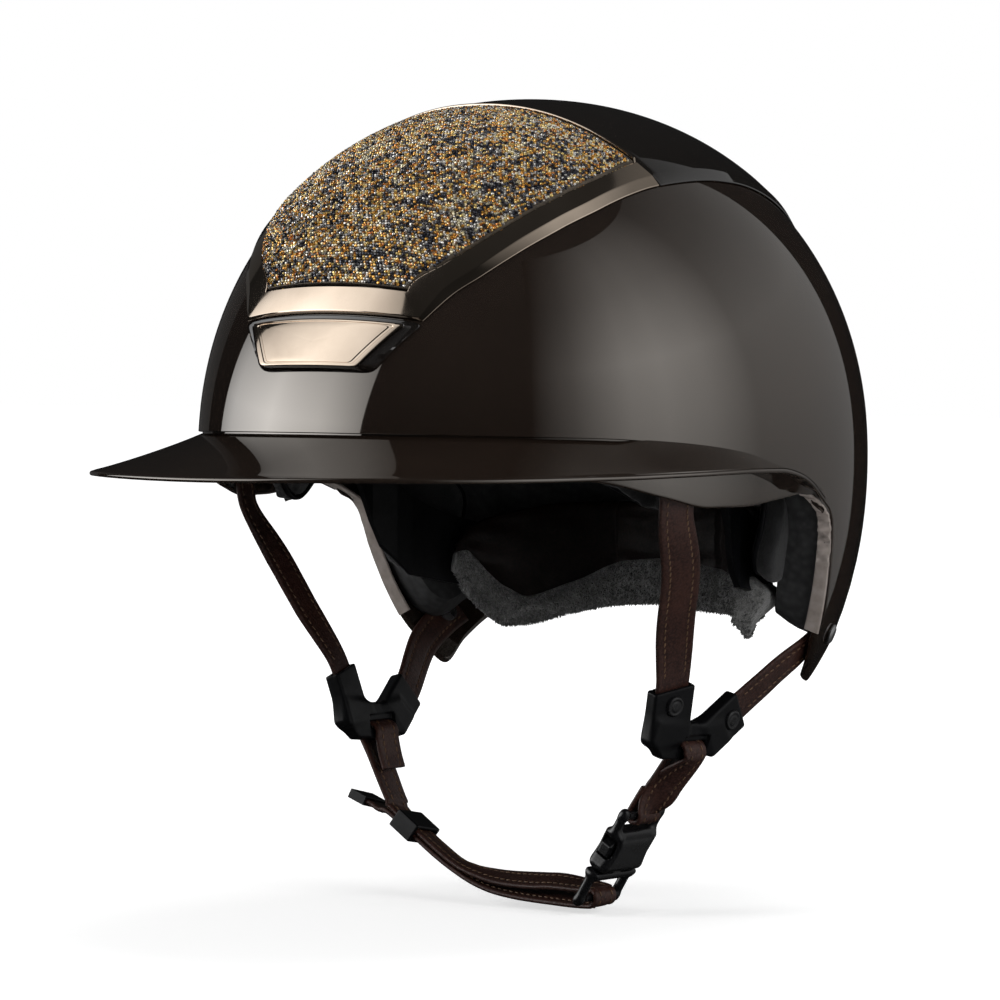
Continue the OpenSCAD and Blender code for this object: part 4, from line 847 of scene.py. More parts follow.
bezel_section = [("mm", 0.05, 0.5), ("mm", 0, 0.62), ("share", 0.03, 0.85),
                 ("share", 0.3, proud(-2.2)), ("share", 0.6, proud(-0.9)),
                 ("share", 0.88, proud(0.1)), ("share", 0.93, proud(0.25)),
                 ("share", 1.0, proud(0.1)), ("share", 1.0, 0.5)]
bezel = crown_loft(rounded(trapezium(14.1, 22.9, 24.5, 40), 12),
                   rounded(trapezium(14.55, 22.15, 22, 34.4), 4), bezel_section, closed=True)
piece("badge_bezel_frame", [bezel], cover_black, "helmet", ["badge_bezel"], sharp=24)
outer = rounded(trapezium(14.6, 22.1, 21.7, 34.1), 4)
middle = outer.mean(0)
plate_section = [("share", 0.0, 0.5), ("share", 0.0, proud(0.15)), ("share", 0.012, proud(0.38)),
                 ("share", 0.03, proud(0.45)), ("share", 0.085, proud(0.45)),
                 ("share", 0.1, proud(0.2)), ("share", 0.135, proud(0.2)),
                 ("share", 0.15, proud(0.42)), ("share", 0.2, proud(0.46)),
                 *[("share", t, proud(0.5)) for t in (0.3, 0.4, 0.5, 0.6, 0.7, 0.8, 0.9, 0.995)]]
plate = crown_loft(outer, middle + (outer - middle) * 0.001, plate_section, closed=True)
piece("badge_plate_bare", [plate], champagne, "helmet", ["badge_plate"], sharp=20)

# %% [markdown]
# ## Crystals
# The panel is a fabric bed with close-set cut stones, each about a millimetre across, in mixed
# tones from dark grey to amber. A stone is a girdle, a ring of slanted facets and a flat table.
# Stones stand in a hexagonal grid with a little random tilt, turn and size, so their facets catch
# the light at different moments. The tone comes from a random number that each loose island of
# the mesh gets, so one material serves them all.

# %% Crystal bed and stones
angles = np.linspace(28, 74.9, 60)
rows = []
for b in angles:
    h = float(crystal_half(b)) - 0.05
    x = np.concatenate([[-h], np.linspace(-h + 0.2, h - 0.2, 50), [h]])
    rise = np.concatenate([[1.4], np.full(50, face_rise), [1.4]])
    rows.append(np.concatenate([on_crown(x, b, rise), on_crown(x[::-1], b, 0.5)]))
bed_cloth = finish("crystal_bed", "nap", dict(Scale=1500, Dark=(0.02, 0.015, 0.01),
                                              Light=(0.09, 0.07, 0.05)), Roughness=0.6)
piece("crystal_bed", [net(rows, loop=True, caps=True)], bed_cloth, "helmet", ["crystal_panel"])

chance = np.random.default_rng(7)
pitch, row_share = 1.28, 0.866
centres = []
arc = np.linspace(28.35, 74.75, 4000)
length = run_length(on_crown(np.zeros(len(arc)), arc, face_rise))
for k in range(int(length[-1] / (pitch * row_share))):
    b = float(np.interp(k * pitch * row_share, length, arc))
    reach = np.linspace(0, float(crystal_half(b)) - 0.6, 400)
    across = run_length(on_crown(reach, b, face_rise))
    for s in np.arange(0.5 * pitch if k % 2 else 0, across[-1], pitch):
        x = float(np.interp(s, across, reach))
        for sign in ((1,) if s == 0 else (1, -1)):
            centres.append((sign * x, b))
centres = np.array(centres)
base = on_crown(centres[:, 0], centres[:, 1], 1.62) + chance.normal(0, 0.07, (len(centres), 3))
normal = unit(outward(base) + chance.normal(0, 0.21, base.shape))
side = unit(np.cross(normal, chance.normal(0, 1, base.shape)))
other = np.cross(normal, side)
size = chance.uniform(0.54, 0.68, len(base))[:, None]
high = chance.uniform(0.62, 0.85, len(base))[:, None]
stone = []
for lift, radius, offset in ((0, 0.92, 0), (0.38, 1.0, 0), (1.0, 0.52, math.pi / 6)):
    for a in circle(6):
        around = side * math.cos(a + offset) + other * math.sin(a + offset)
        stone.append(base + normal * high * lift + around * size * radius)
points = np.stack(stone, 1)
one = [(j, (j + 1) % 6, 6 + (j + 1) % 6, 6 + j) for j in range(6)]
one += [(6 + j, 6 + (j + 1) % 6, 12 + j) for j in range(6)]
one += [(6 + (j + 1) % 6, 12 + (j + 1) % 6, 12 + j) for j in range(6)]
one += [tuple(range(12, 18))]
faces = repeated(one, 18, len(base))

crystal = bpy.data.materials.new("cut_crystal")
tree = nodes_of(crystal)
island = add(tree, "ShaderNodeNewGeometry").outputs["Random Per Island"]
place = add(tree, "ShaderNodeTexCoord").outputs["Object"]
drift = add(tree, "ShaderNodeTexNoise", {"Vector": place, "Scale": 130, "Detail": 3,
                                         "Roughness": 0.6})
drift = add(tree, "ShaderNodeMapRange", {"Value": drift.outputs["Fac"], "From Min": 0.3,
                                         "From Max": 0.7, "To Min": -0.3, "To Max": 0.3})
choice = add(tree, "ShaderNodeMath", {0: island, 1: drift.outputs[0]}, operation="ADD")
choice = add(tree, "ShaderNodeMath", {0: choice.outputs[0], 1: 0.999}, operation="MINIMUM")
tone = ramp(tree, choice.outputs[0], [(0.0, (0.03, 0.033, 0.05)), (0.2, (0.11, 0.11, 0.125)),
                                      (0.32, (0.50, 0.48, 0.45)), (0.41, (1.0, 0.97, 0.92)),
                                      (0.51, (0.20, 0.11, 0.045)), (0.57, (0.95, 0.47, 0.08)),
                                      (0.70, (1.0, 0.74, 0.26)), (0.84, (0.68, 0.23, 0.035)),
                                      (0.92, (1.0, 0.90, 0.62))], "CONSTANT")
surface = add(tree, "ShaderNodeBsdfPrincipled", {"Base Color": tone, "Metallic": 0.72,
                                                 "Roughness": 0.11, "Coat Weight": 1.0})
add(tree, "ShaderNodeOutputMaterial", {"Surface": surface.outputs[0]})
piece("crystal_stones", [(points.reshape(-1, 3), faces)], crystal, "helmet", [],
      weld=0, smooth=False)
print("stones:", len(base))

# %% [markdown]
# ## Impact foam
# Inside the shell sits a cup of moulded foam, 16 mm thick at the rim and 22 mm at the crown, a
# little more in the wings, where it hangs lower. Its inner face carries shallow air channels that
# run up from the rim, and its lower edge is rounded so that nothing sharp meets the head.

# %% Foam
foam_z = curve((0, 2), (46, 1), (60, -1), (70, -2.5), (90, -5), (100, -5), (104, -9), (108, -22),
               (111, -36), (114, -47), (118, -53), (124, -55), (136, -53), (148, -45), (158, -34),
               (166, -22), (180, -22))
foam_back, foam_rim, crown_more, wing_more = -3.8, 19.5, 6, 1.0


def foam_inner(z):
    return -(foam_rim + crown_more * np.clip((z + 20) / 45, 0, 1)
             + wing_more * np.clip((-32 - z) / 12, 0, 1))


around = all_round((0, 98, 1.6), (98, 122, 0.8), (122, 180, 1.6))
sag = 12 * np.exp(-((np.abs(around) - 121) / 9.0) ** 2)
low = rise_angle(foam_z(around) - sag)
channel = 2.2 * np.exp(-(((np.abs(around) % 30) - 15) / 3.2) ** 2)
rows = []
for t in np.linspace(0.999, 0, 40):
    v = low + (90 - low) * t
    z = at_angle(around, v, 0)[..., 2]
    fade = np.clip(t / 0.12, 0, 1) * np.clip((0.8 - t) / 0.2, 0, 1)
    edge = 1.0 * np.clip(1 - t / 0.03, 0, 1) ** 2
    rows.append(at_angle(around, v, foam_inner(z) + channel * fade + edge))
rows += [at_angle(around, low, o) - np.array([0, 0, d])
         for o, d in ((-14.5, 1.2), (-11, 1.5), (-7, 1.2))]
rows += [at_angle(around, low + (90 - low) * t, foam_back) for t in np.linspace(0, 0.999, 30)]
cup = domed(rows, [0, 0, 103.6], [0, 0, dome_high + foam_back])
piece("impact_foam_cup", [cup], foam, "helmet", ["impact_liner"], sharp=50)
print("foam cup:", len(cup[1]), "faces")

# %% [markdown]
# ## Straps
# A strap is one strip of leather with rounded edges and a row of stitches near each edge, sunk in
# a shallow crease. `strap_net()` carries that cross-section along a smooth path. The width
# direction is given at each point of the path, because leather twists as it hangs. `stitches()`
# lays small slanted beads of thread along the same frames.

# %% Strap helpers
front_wide, slim_wide, leather_thick, stitch_inset = 15, 13, 1.8, 3.1


def smooth_path(points, across, step=1.4):
    """Catmull-Rom curve through points: place, width direction, face and way at each step."""
    points, across = np.asarray(points, float), np.asarray(across, float)
    p = np.concatenate([[2 * points[0] - points[1]], points, [2 * points[-1] - points[-2]]])
    a = np.concatenate([[across[0]], across, [across[-1]]])
    out, wide = [], []
    for i in range(1, len(p) - 2):
        n = max(2, int(np.ceil(np.linalg.norm(p[i + 1] - p[i]) / step)))
        for t in np.arange(n) / n:
            w = np.array([-t + 2 * t * t - t ** 3, 2 - 5 * t * t + 3 * t ** 3,
                          t + 4 * t * t - 3 * t ** 3, -t * t + t ** 3]) / 2
            out.append(w @ p[i - 1:i + 3])
            wide.append(w @ a[i - 1:i + 3])
    out.append(p[-2])
    wide.append(a[-2])
    out, wide = np.array(out), np.array(wide)
    forward = unit(np.gradient(out, axis=0))
    face = unit(np.cross(wide, forward))
    return out, np.cross(forward, face), face, forward


def strap_section(width, groove=0.16):
    """Closed outline of the strap: (across, out) pairs with rounded edges and stitch creases."""
    r, row = leather_thick / 2, width / 2 - stitch_inset
    x = np.linspace(-1, 1, 25) * (width / 2 - r)
    crease = groove * (np.exp(-((x - row) / 0.7) ** 2) + np.exp(-((x + row) / 0.7) ** 2))
    top = np.stack([x, r - crease], 1)
    cap = np.array([(width / 2 - r + r * math.cos(a), r * math.sin(a))
                    for a in np.radians([60, 30, 0, -30, -60])])
    return np.concatenate([top, cap, -top, -cap])


def strap_net(frames, width, wave, seed):
    path, side, face, _ = frames
    section = strap_section(width)
    s = run_length(path)
    lift = wave * (np.sin(s / 4.1 + seed) * 0.6 + np.sin(s / 9.7 + 2 * seed)
                   + 0.4 * np.sin(s / 1.9))
    narrow = 1 + 0.006 * np.sin(s / 6.3 + seed)
    rows = [path[i] + side[i] * (section[:, :1] * narrow[i])
            + face[i] * (section[:, 1:] + lift[i] * 0.5) for i in range(len(path))]
    return net(rows, loop=True, caps=True)


def bead(centre, forward, side, face, length=1.9, wide=0.34, high=0.26, slant=0.16):
    """Low-poly grain of thread lying on the strap."""
    forward = forward + side * slant
    ring = []
    for t, r in ((-1, 0.25), (-0.62, 0.9), (0, 1.0), (0.62, 0.9), (1, 0.25)):
        ring.append([centre + forward * length / 2 * t + side * wide * r * math.cos(a)
                     + face * high * r * math.sin(a) for a in circle(6)])
    return net(ring, loop=True, caps=True)


def stitches(frames, width, pitch=2.7, start=1.5, end=1.5):
    s = run_length(frames[0])
    made = []
    for place in np.arange(start, s[-1] - end, pitch):
        centre, side, face, forward = (
            np.array([np.interp(place, s, v[:, k]) for k in range(3)]) for v in frames)
        for edge in (-1, 1):
            for out in (1, -1):
                at = (centre + side * edge * (width / 2 - stitch_inset)
                      + face * out * (leather_thick / 2 - 0.05))
                made.append(bead(at, forward, side, face * out))
    return made


def leather_strap(node, frames, width, wave=0.12, seed=1, **ends):
    """A strap's leather and its thread. ends say where the stitches start and stop."""
    piece(node + "_leather", [strap_net(frames, width, wave, seed)], leather, "helmet", [node],
          sharp=60)
    piece(node + "_thread", stitches(frames, width, **ends), thread, "helmet", [],
          weld=0)


print("a front strap's section has", len(strap_section(front_wide)), "points")

# %% [markdown]
# ## Harness
# Each front strap hangs from an anchor behind the temple lobe, and each rear strap from a rivet
# in the wing. They meet in the divider, a small nylon plate with a pocket for each. From the near
# divider a short leather loop holds the buckle. From the far one the chin strap runs down through
# the buckle's insert and back up to its tip, and a keeper holds the two plies together.

# %% Straps
yaw, lean = math.radians(4), math.radians(15)


def dv(a, b, n=0.0):
    """Place in the left divider's own frame: a to the rear, b up and n out of its face."""
    x = n * math.cos(lean) + b * math.sin(lean)
    z = b * math.cos(lean) - n * math.sin(lean)
    return np.array([74 + x * math.cos(yaw) + a * math.sin(yaw),
                     -1.5 + a * math.cos(yaw) - x * math.sin(yaw), z - 93])


def arm(foot, direction, l):
    """Place at a length along one of the divider's two channels."""
    way = math.radians(direction)
    return dv(foot[0] + l * math.cos(way), foot[1] + l * math.sin(way))


def local(a, b, n=0.0):
    """The same direction in the helmet's frame."""
    return dv(a, b, n) - dv(0, 0)


front_foot, front_dir, front_roll = (-15.5, -0.5), 97, -10
rear_foot, rear_dir, arm_len = (12, -5.3), 35, 13.5
tilt, turned = math.radians(front_dir - 90), math.radians(front_roll)
pocket_side = local(math.cos(turned) * math.cos(tilt), math.cos(turned) * math.sin(tilt),
                    -math.sin(turned))


def front_strap(twist):
    hung = -6.5
    path = [arm(front_foot, front_dir, 1), arm(front_foot, front_dir, 6.75),
            arm(front_foot, front_dir, arm_len + 4), [84.3, -28, -58], [91.8, -35.5, -39],
            at_height(64.9, -22, hung - 2.2), at_height(64.4, -13, hung - 1),
            at_height(64.8, -4.9, hung - 0.5)]
    middle = [math.sin(math.radians(twist)), math.cos(math.radians(twist)), 0]
    top = unit(at_height(69.5, -8, 0) - at_height(61.5, -8, 0))
    return smooth_path(path, [pocket_side] * 3 + [middle] * 2 + [top] * 3)


def rear_strap():
    hung = -4.3
    path = [arm(rear_foot, rear_dir, 1), arm(rear_foot, rear_dir, 6.75),
            arm(rear_foot, rear_dir, arm_len + 3), at_height(115, -77, hung - 3.5),
            at_height(119.5, -71, hung - 1.2), at_height(124, -65.5, hung),
            at_height(127.5, -61.5, hung)]
    across = math.radians(rear_dir - 90)
    low = local(math.cos(across), math.sin(across))
    top = unit(at_height(127, -71, 0) - at_height(121.5, -60, 0))
    return smooth_path(path, [low + (top - low) * min(max((i - 1) / 4, 0), 1) for i in range(7)])


def flipped(frames):
    """Mirror image of a strap's frames, kept right-handed."""
    flip = np.array([-1, 1, 1])
    path, side, face, forward = (v * flip for v in frames)
    return path, -side, face, forward


for node, frames, width in (("front_strap_left", front_strap(26), front_wide),
                            ("front_strap_right", flipped(front_strap(4)), front_wide),
                            ("rear_strap_left", rear_strap(), slim_wide),
                            ("rear_strap_right", flipped(rear_strap()), slim_wide)):
    leather_strap(node, frames, width, seed=len(node), start=18)


def flat(x, z):
    """Place in the upright plane of the chin strap and its loop."""
    return [x, loop_y, z]


def bend(c, r, a0, a1):
    """Turn of radius r round a bar at c, from a0 to a1 degrees."""
    return [flat(c[0] + r * math.cos(math.radians(a)), c[1] + r * math.sin(math.radians(a)))
            for a in np.linspace(a0, a1, 10)]


slot = dv(-1, -13)
slot_bar, loop_y = (slot[0], slot[2]), float(dv(-1, -8.5)[1])
bar_size, slack = (4, 4.2), 0.3
bar_bend = math.hypot(*bar_size) / 2 + slack + leather_thick / 2
slant, buckle_x, buckle_z = math.radians(32.5), 53, -127
socket_bar, insert_bar, bar_round, bar_turn = 2.2, 39.2, 1.6, 2.8


def buckle_xz(s):
    """Place at a length along the buckle."""
    return buckle_x - s * math.sin(slant), buckle_z - s * math.cos(slant)


path = [flat(58.6, -117), flat(62, -112.8)] + bend(slot_bar, bar_bend, 195, -35)
front_ply = (len(path), len(path) + 1)
path += [flat(63.2, -116.5), flat(58.9, -121.6)] + bend(buckle_xz(socket_bar), bar_turn, 20, -190)
path += [flat(53.6, -121.8), flat(56, -118.6)]
frames = smooth_path(path, [[1.0 * (i in front_ply), 1, 0] for i in range(len(path))], 0.9)
leather_strap("buckle_loop", frames, slim_wide, wave=0.04)

run_way = math.radians(34)


def run(s, n):
    """Place on the straight run of the chin strap that the keeper slides on."""
    return flat(-59.5 + s * math.cos(run_way) - n * math.sin(run_way),
                -134.5 - s * math.sin(run_way) - n * math.cos(run_way))


ply = 2.2
start = [flat(-63.4, -118.3), flat(-65.2, -113)]
start += bend((-slot_bar[0], slot_bar[1]), bar_bend, -15, 215)
start += [flat(-70.3, -114.2), flat(-66.2, -122.5), flat(-62.3, -130)]
down = [run(0, 0), run(26, 0)]
down += [flat(*p) for p in ((-29, -153.2), (-19, -155.3), (-9, -156.3), (4, -156.3), (14, -156))]
turn = bend(buckle_xz(insert_bar), bar_turn, 95, -85)
back_ply = [flat(*p) for p in ((24, -162), (12, -161.4), (-2, -160.9), (-14, -159.9),
                               (-25, -157.4))]
tail = [run(26, ply), run(0, ply)]
tail += [flat(*p) for p in ((-66.3, -134.8), (-70, -133), (-74, -131.5))]
kept, hung = -0.24, (-0.08, 0.12, 0.26, 0.34, 0.3)
rolls = [0] * (len(start) - 2) + [kept / 3, 2 * kept / 3] + [kept, kept, *hung]
rolls += [0.1] + [0] * (len(turn) - 2) + [0.1]
rolls += [*hung[::-1]] + [kept] * len(tail)
frames = smooth_path(start + down + turn + back_ply + tail, [[0, 1, r] for r in rolls], 1.1)
leather_strap("chin_strap", frames, slim_wide, wave=0.05, end=8)

# %% [markdown]
# ## Moulded pieces from distance fields
# A moulding has no hard inner corners: its walls flow into each other. Such a form is easy to say
# as a distance field, a function that is negative inside the solid. `melt()` joins two fields with
# a fillet, `carve()` cuts one from another, and `skin()` turns a field into a mesh: one point in
# each grid cell that the surface crosses, and one face round each grid edge that it crosses.

# %% Fields and their skin
def eased(q, r):
    """Distance to where all parts of q are negative, its corners rounded by r."""
    q = q + r
    return np.linalg.norm(np.maximum(q, 0), axis=-1) + np.minimum(q.max(-1), 0) - r


def block(p, centre, half, r):
    return eased(np.abs(p - np.array(centre)) - np.array(half), r)


def slab(d, n, half, r):
    """Plate over the plan whose distance is d, half as thick on each side of n = 0."""
    return eased(np.stack([d, np.abs(n) - half], -1), r)


def melt(a, b, k):
    h = np.clip(0.5 + 0.5 * (b - a) / k, 0, 1)
    return b * (1 - h) + a * h - k * h * (1 - h)


def carve(a, b, k):
    return -melt(-a, b, k)


def rod(p, a, b, r):
    a, b = np.array(a, float), np.array(b, float)
    t = np.clip((p - a) @ (b - a) / ((b - a) @ (b - a)), 0, 1)
    return np.linalg.norm(p - a - t[..., None] * (b - a), axis=-1) - r


def plan(p, corners):
    """Distance in the plane to a closed outline, negative inside it."""
    x, y = p[..., 0], p[..., 1]
    best, inside = np.full(x.shape, 1e9), np.zeros(x.shape, bool)
    for (ax, ay), (bx, by) in zip(corners, corners[1:] + corners[:1]):
        t = np.clip(((x - ax) * (bx - ax) + (y - ay) * (by - ay))
                    / ((bx - ax) ** 2 + (by - ay) ** 2), 0, 1)
        best = np.minimum(best, np.hypot(x - ax - t * (bx - ax), y - ay - t * (by - ay)))
        if ay != by:
            inside ^= ((ay > y) != (by > y)) & (x < (bx - ax) * (y - ay) / (by - ay) + ax)
    return np.where(inside, -best, best)


def skin(field, low, high, step):
    """Mesh of the field's zero surface between two corners, on a grid of step millimetres."""
    low, steps = np.array(low, float), np.atleast_1d(step) * np.ones(3)
    count = np.ceil((np.array(high) - low) / steps).astype(int) + 1
    lines = [low[k] + steps[k] * np.arange(count[k]) for k in range(3)]
    grid = np.stack(np.meshgrid(*lines, indexing="ij"), -1)
    d = field(grid)
    total, hits, quads = np.zeros((*(count - 1), 3)), np.zeros(count - 1), []
    for axis in range(3):
        da, db = np.delete(d, -1, axis), np.delete(d, 0, axis)
        crossed = (da < 0) != (db < 0)
        i = np.argwhere(crossed)
        p = i.astype(float)
        p[:, axis] += (da / np.where(da == db, 1, da - db))[crossed]
        cells = []
        for du, dw in ((0, 0), (-1, 0), (-1, -1), (0, -1)):
            c = i.copy()
            c[:, (axis + 1) % 3] += du
            c[:, (axis + 2) % 3] += dw
            np.add.at(total, tuple(c.T), low + p * steps)
            np.add.at(hits, tuple(c.T), 1)
            cells.append(np.ravel_multi_index(tuple(c.T), tuple(count - 1)))
        quad = np.stack(cells, 1)
        quads.append(np.where((da < 0)[crossed][:, None], quad, quad[:, ::-1]))
    used = hits > 0
    index = np.full(hits.size, -1)
    index[used.ravel()] = np.arange(used.sum())
    faces = index[np.concatenate(quads)].tolist()
    return total[used] / hits[used][:, None], [tuple(face) for face in faces]


ball = skin(lambda p: np.linalg.norm(p, axis=-1) - 5, (-7, -7, -7), (7, 7, 7), 1)
print("a test ball of 5 mm comes out as",
      round(float(np.linalg.norm(ball[0], axis=1).mean()), 3), "mm")

# %% [markdown]
# ## Dividers
# Each divider is one nylon moulding: a channel for the front strap, a slimmer channel for the rear
# strap, and a web between them with a slot for the lower leather. The front channel is turned a
# little about its own length, to face the way its strap hangs, and fillets join it to the web.

# %% Dividers
divider_axes = np.stack([local(1, 0), local(0, 1), local(0, 0, 1)])


def turned_to(p, foot, direction, roll):
    """Place of p in a channel's own frame: across it, along it, and out of its face."""
    x, y, n = p[..., 0] - foot[0], p[..., 1] - foot[1], p[..., 2]
    a, r = math.radians(direction - 90), math.radians(roll)
    x, y = x * math.cos(a) + y * math.sin(a), -x * math.sin(a) + y * math.cos(a)
    return np.stack([x * math.cos(r) - n * math.sin(r), y, x * math.sin(r) + n * math.cos(r)], -1)


def divider_field(p):
    front = turned_to(p, front_foot, front_dir, front_roll)
    rear = turned_to(p, rear_foot, rear_dir, 0)
    solid = block(front, (0, 3.2, 0), (9.05, 10.9, 2.85), 1.1)
    solid = carve(solid, 12.9 + 0.11 * front[..., 0] - front[..., 1], 0.3)
    web = slab(plan(p, [(-24, -7), (-17, -13.6), (3, -15.4), (10.5, -13.4), (18, -8), (13, -2),
                        (5, -3.0), (-1, -1.6), (-6, -1.6), (-22, 0)]) - 0.4, p[..., 2], 2.7, 1.1)
    channel = block(rear, (0, 3.9, 0), (7.95, 9.7, 2.8), 1.2)
    solid = melt(solid, melt(web, channel, 3.6), 3.4)
    solid = carve(solid, block(front, (0, 17, 0), (7.85, 17, 1.2), 0.5), 0.3)
    solid = carve(solid, block(rear, (0, 17, 0), (6.85, 17, 1.2), 0.5), 0.3)
    solid = carve(solid, block(p, (-1, -9.55, 0), (7.5, 1.4, 12), 0.9), 0.7)
    for side in (-1, 1):
        solid = carve(solid, block(p, (-1, -16, side * 8.1), (7.75, 10, 6), 0.4), 0.5)
    return solid


def divider_part(field, low, high, step):
    points, faces = skin(field, low, high, step)
    return points @ divider_axes + dv(0, 0), faces


mould = divider_part(divider_field, (-32, -19, -6.5), (28, 21, 6.5), 0.42)
for node, part in (("divider_left", mould), ("divider_right", mirrored(mould))):
    piece(node + "_moulded", [part], nylon, "helmet", [node], sharp=180)


def snap_field(foot, direction, roll, l):
    def field(p):
        q = turned_to(p, foot, direction, roll) - np.array([0, l, 2.8])
        r = np.hypot(q[..., 0], q[..., 1])
        cap = slab(r - 4.0 + 0.35 * np.maximum(q[..., 2], 0), q[..., 2] - 0.2, 1.05, 0.7)
        return carve(cap, slab(np.abs(r - 2.3) - 0.3, q[..., 2] - 1.35, 0.3, 0.15), 0.6)
    return field


snaps = [divider_part(snap_field(front_foot, front_dir, front_roll, 6.75), (-24, -1, 0),
                      (-8, 14, 7), 0.3),
         divider_part(snap_field(rear_foot, rear_dir, 0, 7.4), (10, -8, 1), (26, 7, 6), 0.3)]
piece("divider_snap_caps", snaps + [mirrored(snap) for snap in snaps], gloss_nylon, "helmet",
      ["divider_snaps"], sharp=180)
print("divider:", len(mould[1]), "faces")

# %% [markdown]
# ## Buckle
# The buckle is a side-release pair. The socket hangs from the short loop and has a window in each
# edge. The insert pushes two sprung prongs in until they fill the windows. Both are glossy nylon,
# and the socket has a narrow waist, so the thumb and finger find the prongs.

# %% Buckle
buckle_axes = np.array([[-math.sin(slant), 0, -math.cos(slant)], [0, 1, 0],
                        [math.cos(slant), 0, -math.sin(slant)]])
rail = 11


def to_buckle(part):
    return part[0] @ buckle_axes + np.array([buckle_x, -3.5, buckle_z]), part[1]


def barrel(p, along, wide, thick, r):
    """Rounded bar whose half width and half thickness change along its length."""
    s = p[..., 0]
    return eased(np.stack([np.abs(s - (along[0] + along[-1]) / 2) - (along[-1] - along[0]) / 2,
                           np.abs(p[..., 1]) - np.interp(s, along, wide),
                           np.abs(p[..., 2]) - np.interp(s, along, thick)], -1), r)


def rails(p, start, end, r):
    """The two side rods that carry a bar."""
    both = p * [1, 0, 1] + np.abs(p[..., 1:2]) * [0, 1, 0]
    return rod(both, (start, rail, 0), (end, rail, 0), r)


def cross_bar(p, s):
    return rod(p, (s, -rail, 0), (s, rail, 0), bar_round)


def socket_field(p):
    solid = barrel(p, (8, 10, 13, 17, 20, 23, 26), (12.3, 12.1, 11.2, 10.9, 11.4, 12.3, 12.4),
                   (3.2, 4.1, 4.5, 4.5, 4.5, 4.4, 3.9), 2.4)
    solid = melt(solid, rails(p, 0.9, 9.5, 1.75), 2.0)
    solid = melt(solid, cross_bar(p, socket_bar), 1.4)
    solid = carve(solid, block(p, (26, 0, 0), (16.3, 10.9, 2.9), 0.8), 0.4)
    solid = carve(solid, block(p, (15.75, 0, 0), (3.75, 30, 2.9), 1.2), 0.8)
    return carve(solid, block(p, (7.2, 0, 5.4), (4.2, 8.6, 1.8), 1.2), 1.2)


def insert_field(p):
    solid = barrel(p, (26.4, 28, 30), (12.5, 12.5, 11.6), (3.4, 3.1, 2.6), 1.2)
    solid = melt(solid, rails(p, 28, 40.2, 1.8), 1.6)
    solid = melt(solid, cross_bar(p, insert_bar), 1.6)
    return melt(solid, block(p, (20, 0, 0), (8, 2.6, 2.1), 0.6), 0.8)


for name, field, low, high in (("buckle_socket", socket_field, (-2, -14, -6), (28, 14, 6)),
                               ("buckle_insert", insert_field, (11, -14, -5), (43, 14, 5))):
    part = to_buckle(skin(field, low, high, 0.45))
    piece(name + "_moulded", [part], gloss_nylon, "helmet", [name], sharp=180)
    print(name, len(part[1]), "faces")

# %% [markdown]
# ## Fittings that keep their CAD shape
# Small hard pieces keep their CAD shape, which is exact, and only lose their knife edges: a bevel
# of a few tenths rounds each one as a mould would, and hardened normals keep the flats flat.

# %% Fittings that keep their CAD shape
def dress(node, material, width):
    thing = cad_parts[node]
    thing.data.materials.clear()
    thing.data.materials.append(material)
    weld = thing.modifiers.new("weld", "WELD")
    weld.merge_threshold = 1e-5
    bevel = thing.modifiers.new("bevel", "BEVEL")
    bevel.width, bevel.segments, bevel.limit_method = width * 0.001, 3, "ANGLE"
    bevel.angle_limit = math.radians(35)
    bevel.harden_normals = True


for node, material, width in (
        ("buckle_prong_front", gloss_nylon, 0.5), ("buckle_prong_rear", gloss_nylon, 0.5),
        ("strap_keeper", nylon, 0.6), ("strap_tip", nylon, 0.3), ("cradle_housing", nylon, 0.5),
        ("housing_cover", nylon, 0.5), ("dial_knob", nylon, 0.4), ("dial_pinion", pale_nylon, 0.08),
        ("rack_arm_left", nylon, 0.25), ("rack_arm_right", nylon, 0.25),
        ("wing_rivets", steel, 0.2), ("cover_screws", steel, 0.1), ("dial_screw", steel, 0.15),
        ("pivot_pins", steel, 0.2), ("front_strap_anchors", steel, 0.3)):
    dress(node, material, width)
print("fittings dressed")

# %% [markdown]
# ## Comfort pads
# A pad is foam in a cloth cover, held to the impact foam by hook dots. It swells between its seams.
# Each is drawn as a plan on the foam, in millimetres round and up, then made as a field whose
# height grows from the plan's edge. A piped seam runs just inside the edge, and sewn channels cross
# the long pads. Blender's cloth then fills each pad with a little pressure, so the cover bulges
# unevenly between its seams as real fabric does. No point may move further than a few
# millimetres, and none outward, into the foam. The right-hand pads are mirror images.

# %% Pads on the foam
per_degree, channel_deep, channel_wide = 1.75, 0.0017, 2.0


def around_foam(*corners):
    """Corners of a plan in millimetres from (degrees round, height) pairs."""
    return [(u * per_degree, z) for u, z in corners]


def pad_shape(corners, thick, edge):
    """Field of a pad over its plan: (round, up, depth) in millimetres."""
    def field(p):
        d = plan(p, corners)
        rise = thick * np.sqrt(1 - (1 - np.clip(-d / edge, 0, 1)) ** 2)
        return np.maximum(d, (np.abs(p[..., 2] - rise / 2) - rise / 2) * 0.7)
    return field


def on_foam(part, sunk=0.0):
    u, z, depth = part[0][:, 0] / per_degree, part[0][:, 1], part[0][:, 2]
    return at_angle(u, rise_angle(z), foam_inner(z) - 1.0 - depth + sunk), part[1]


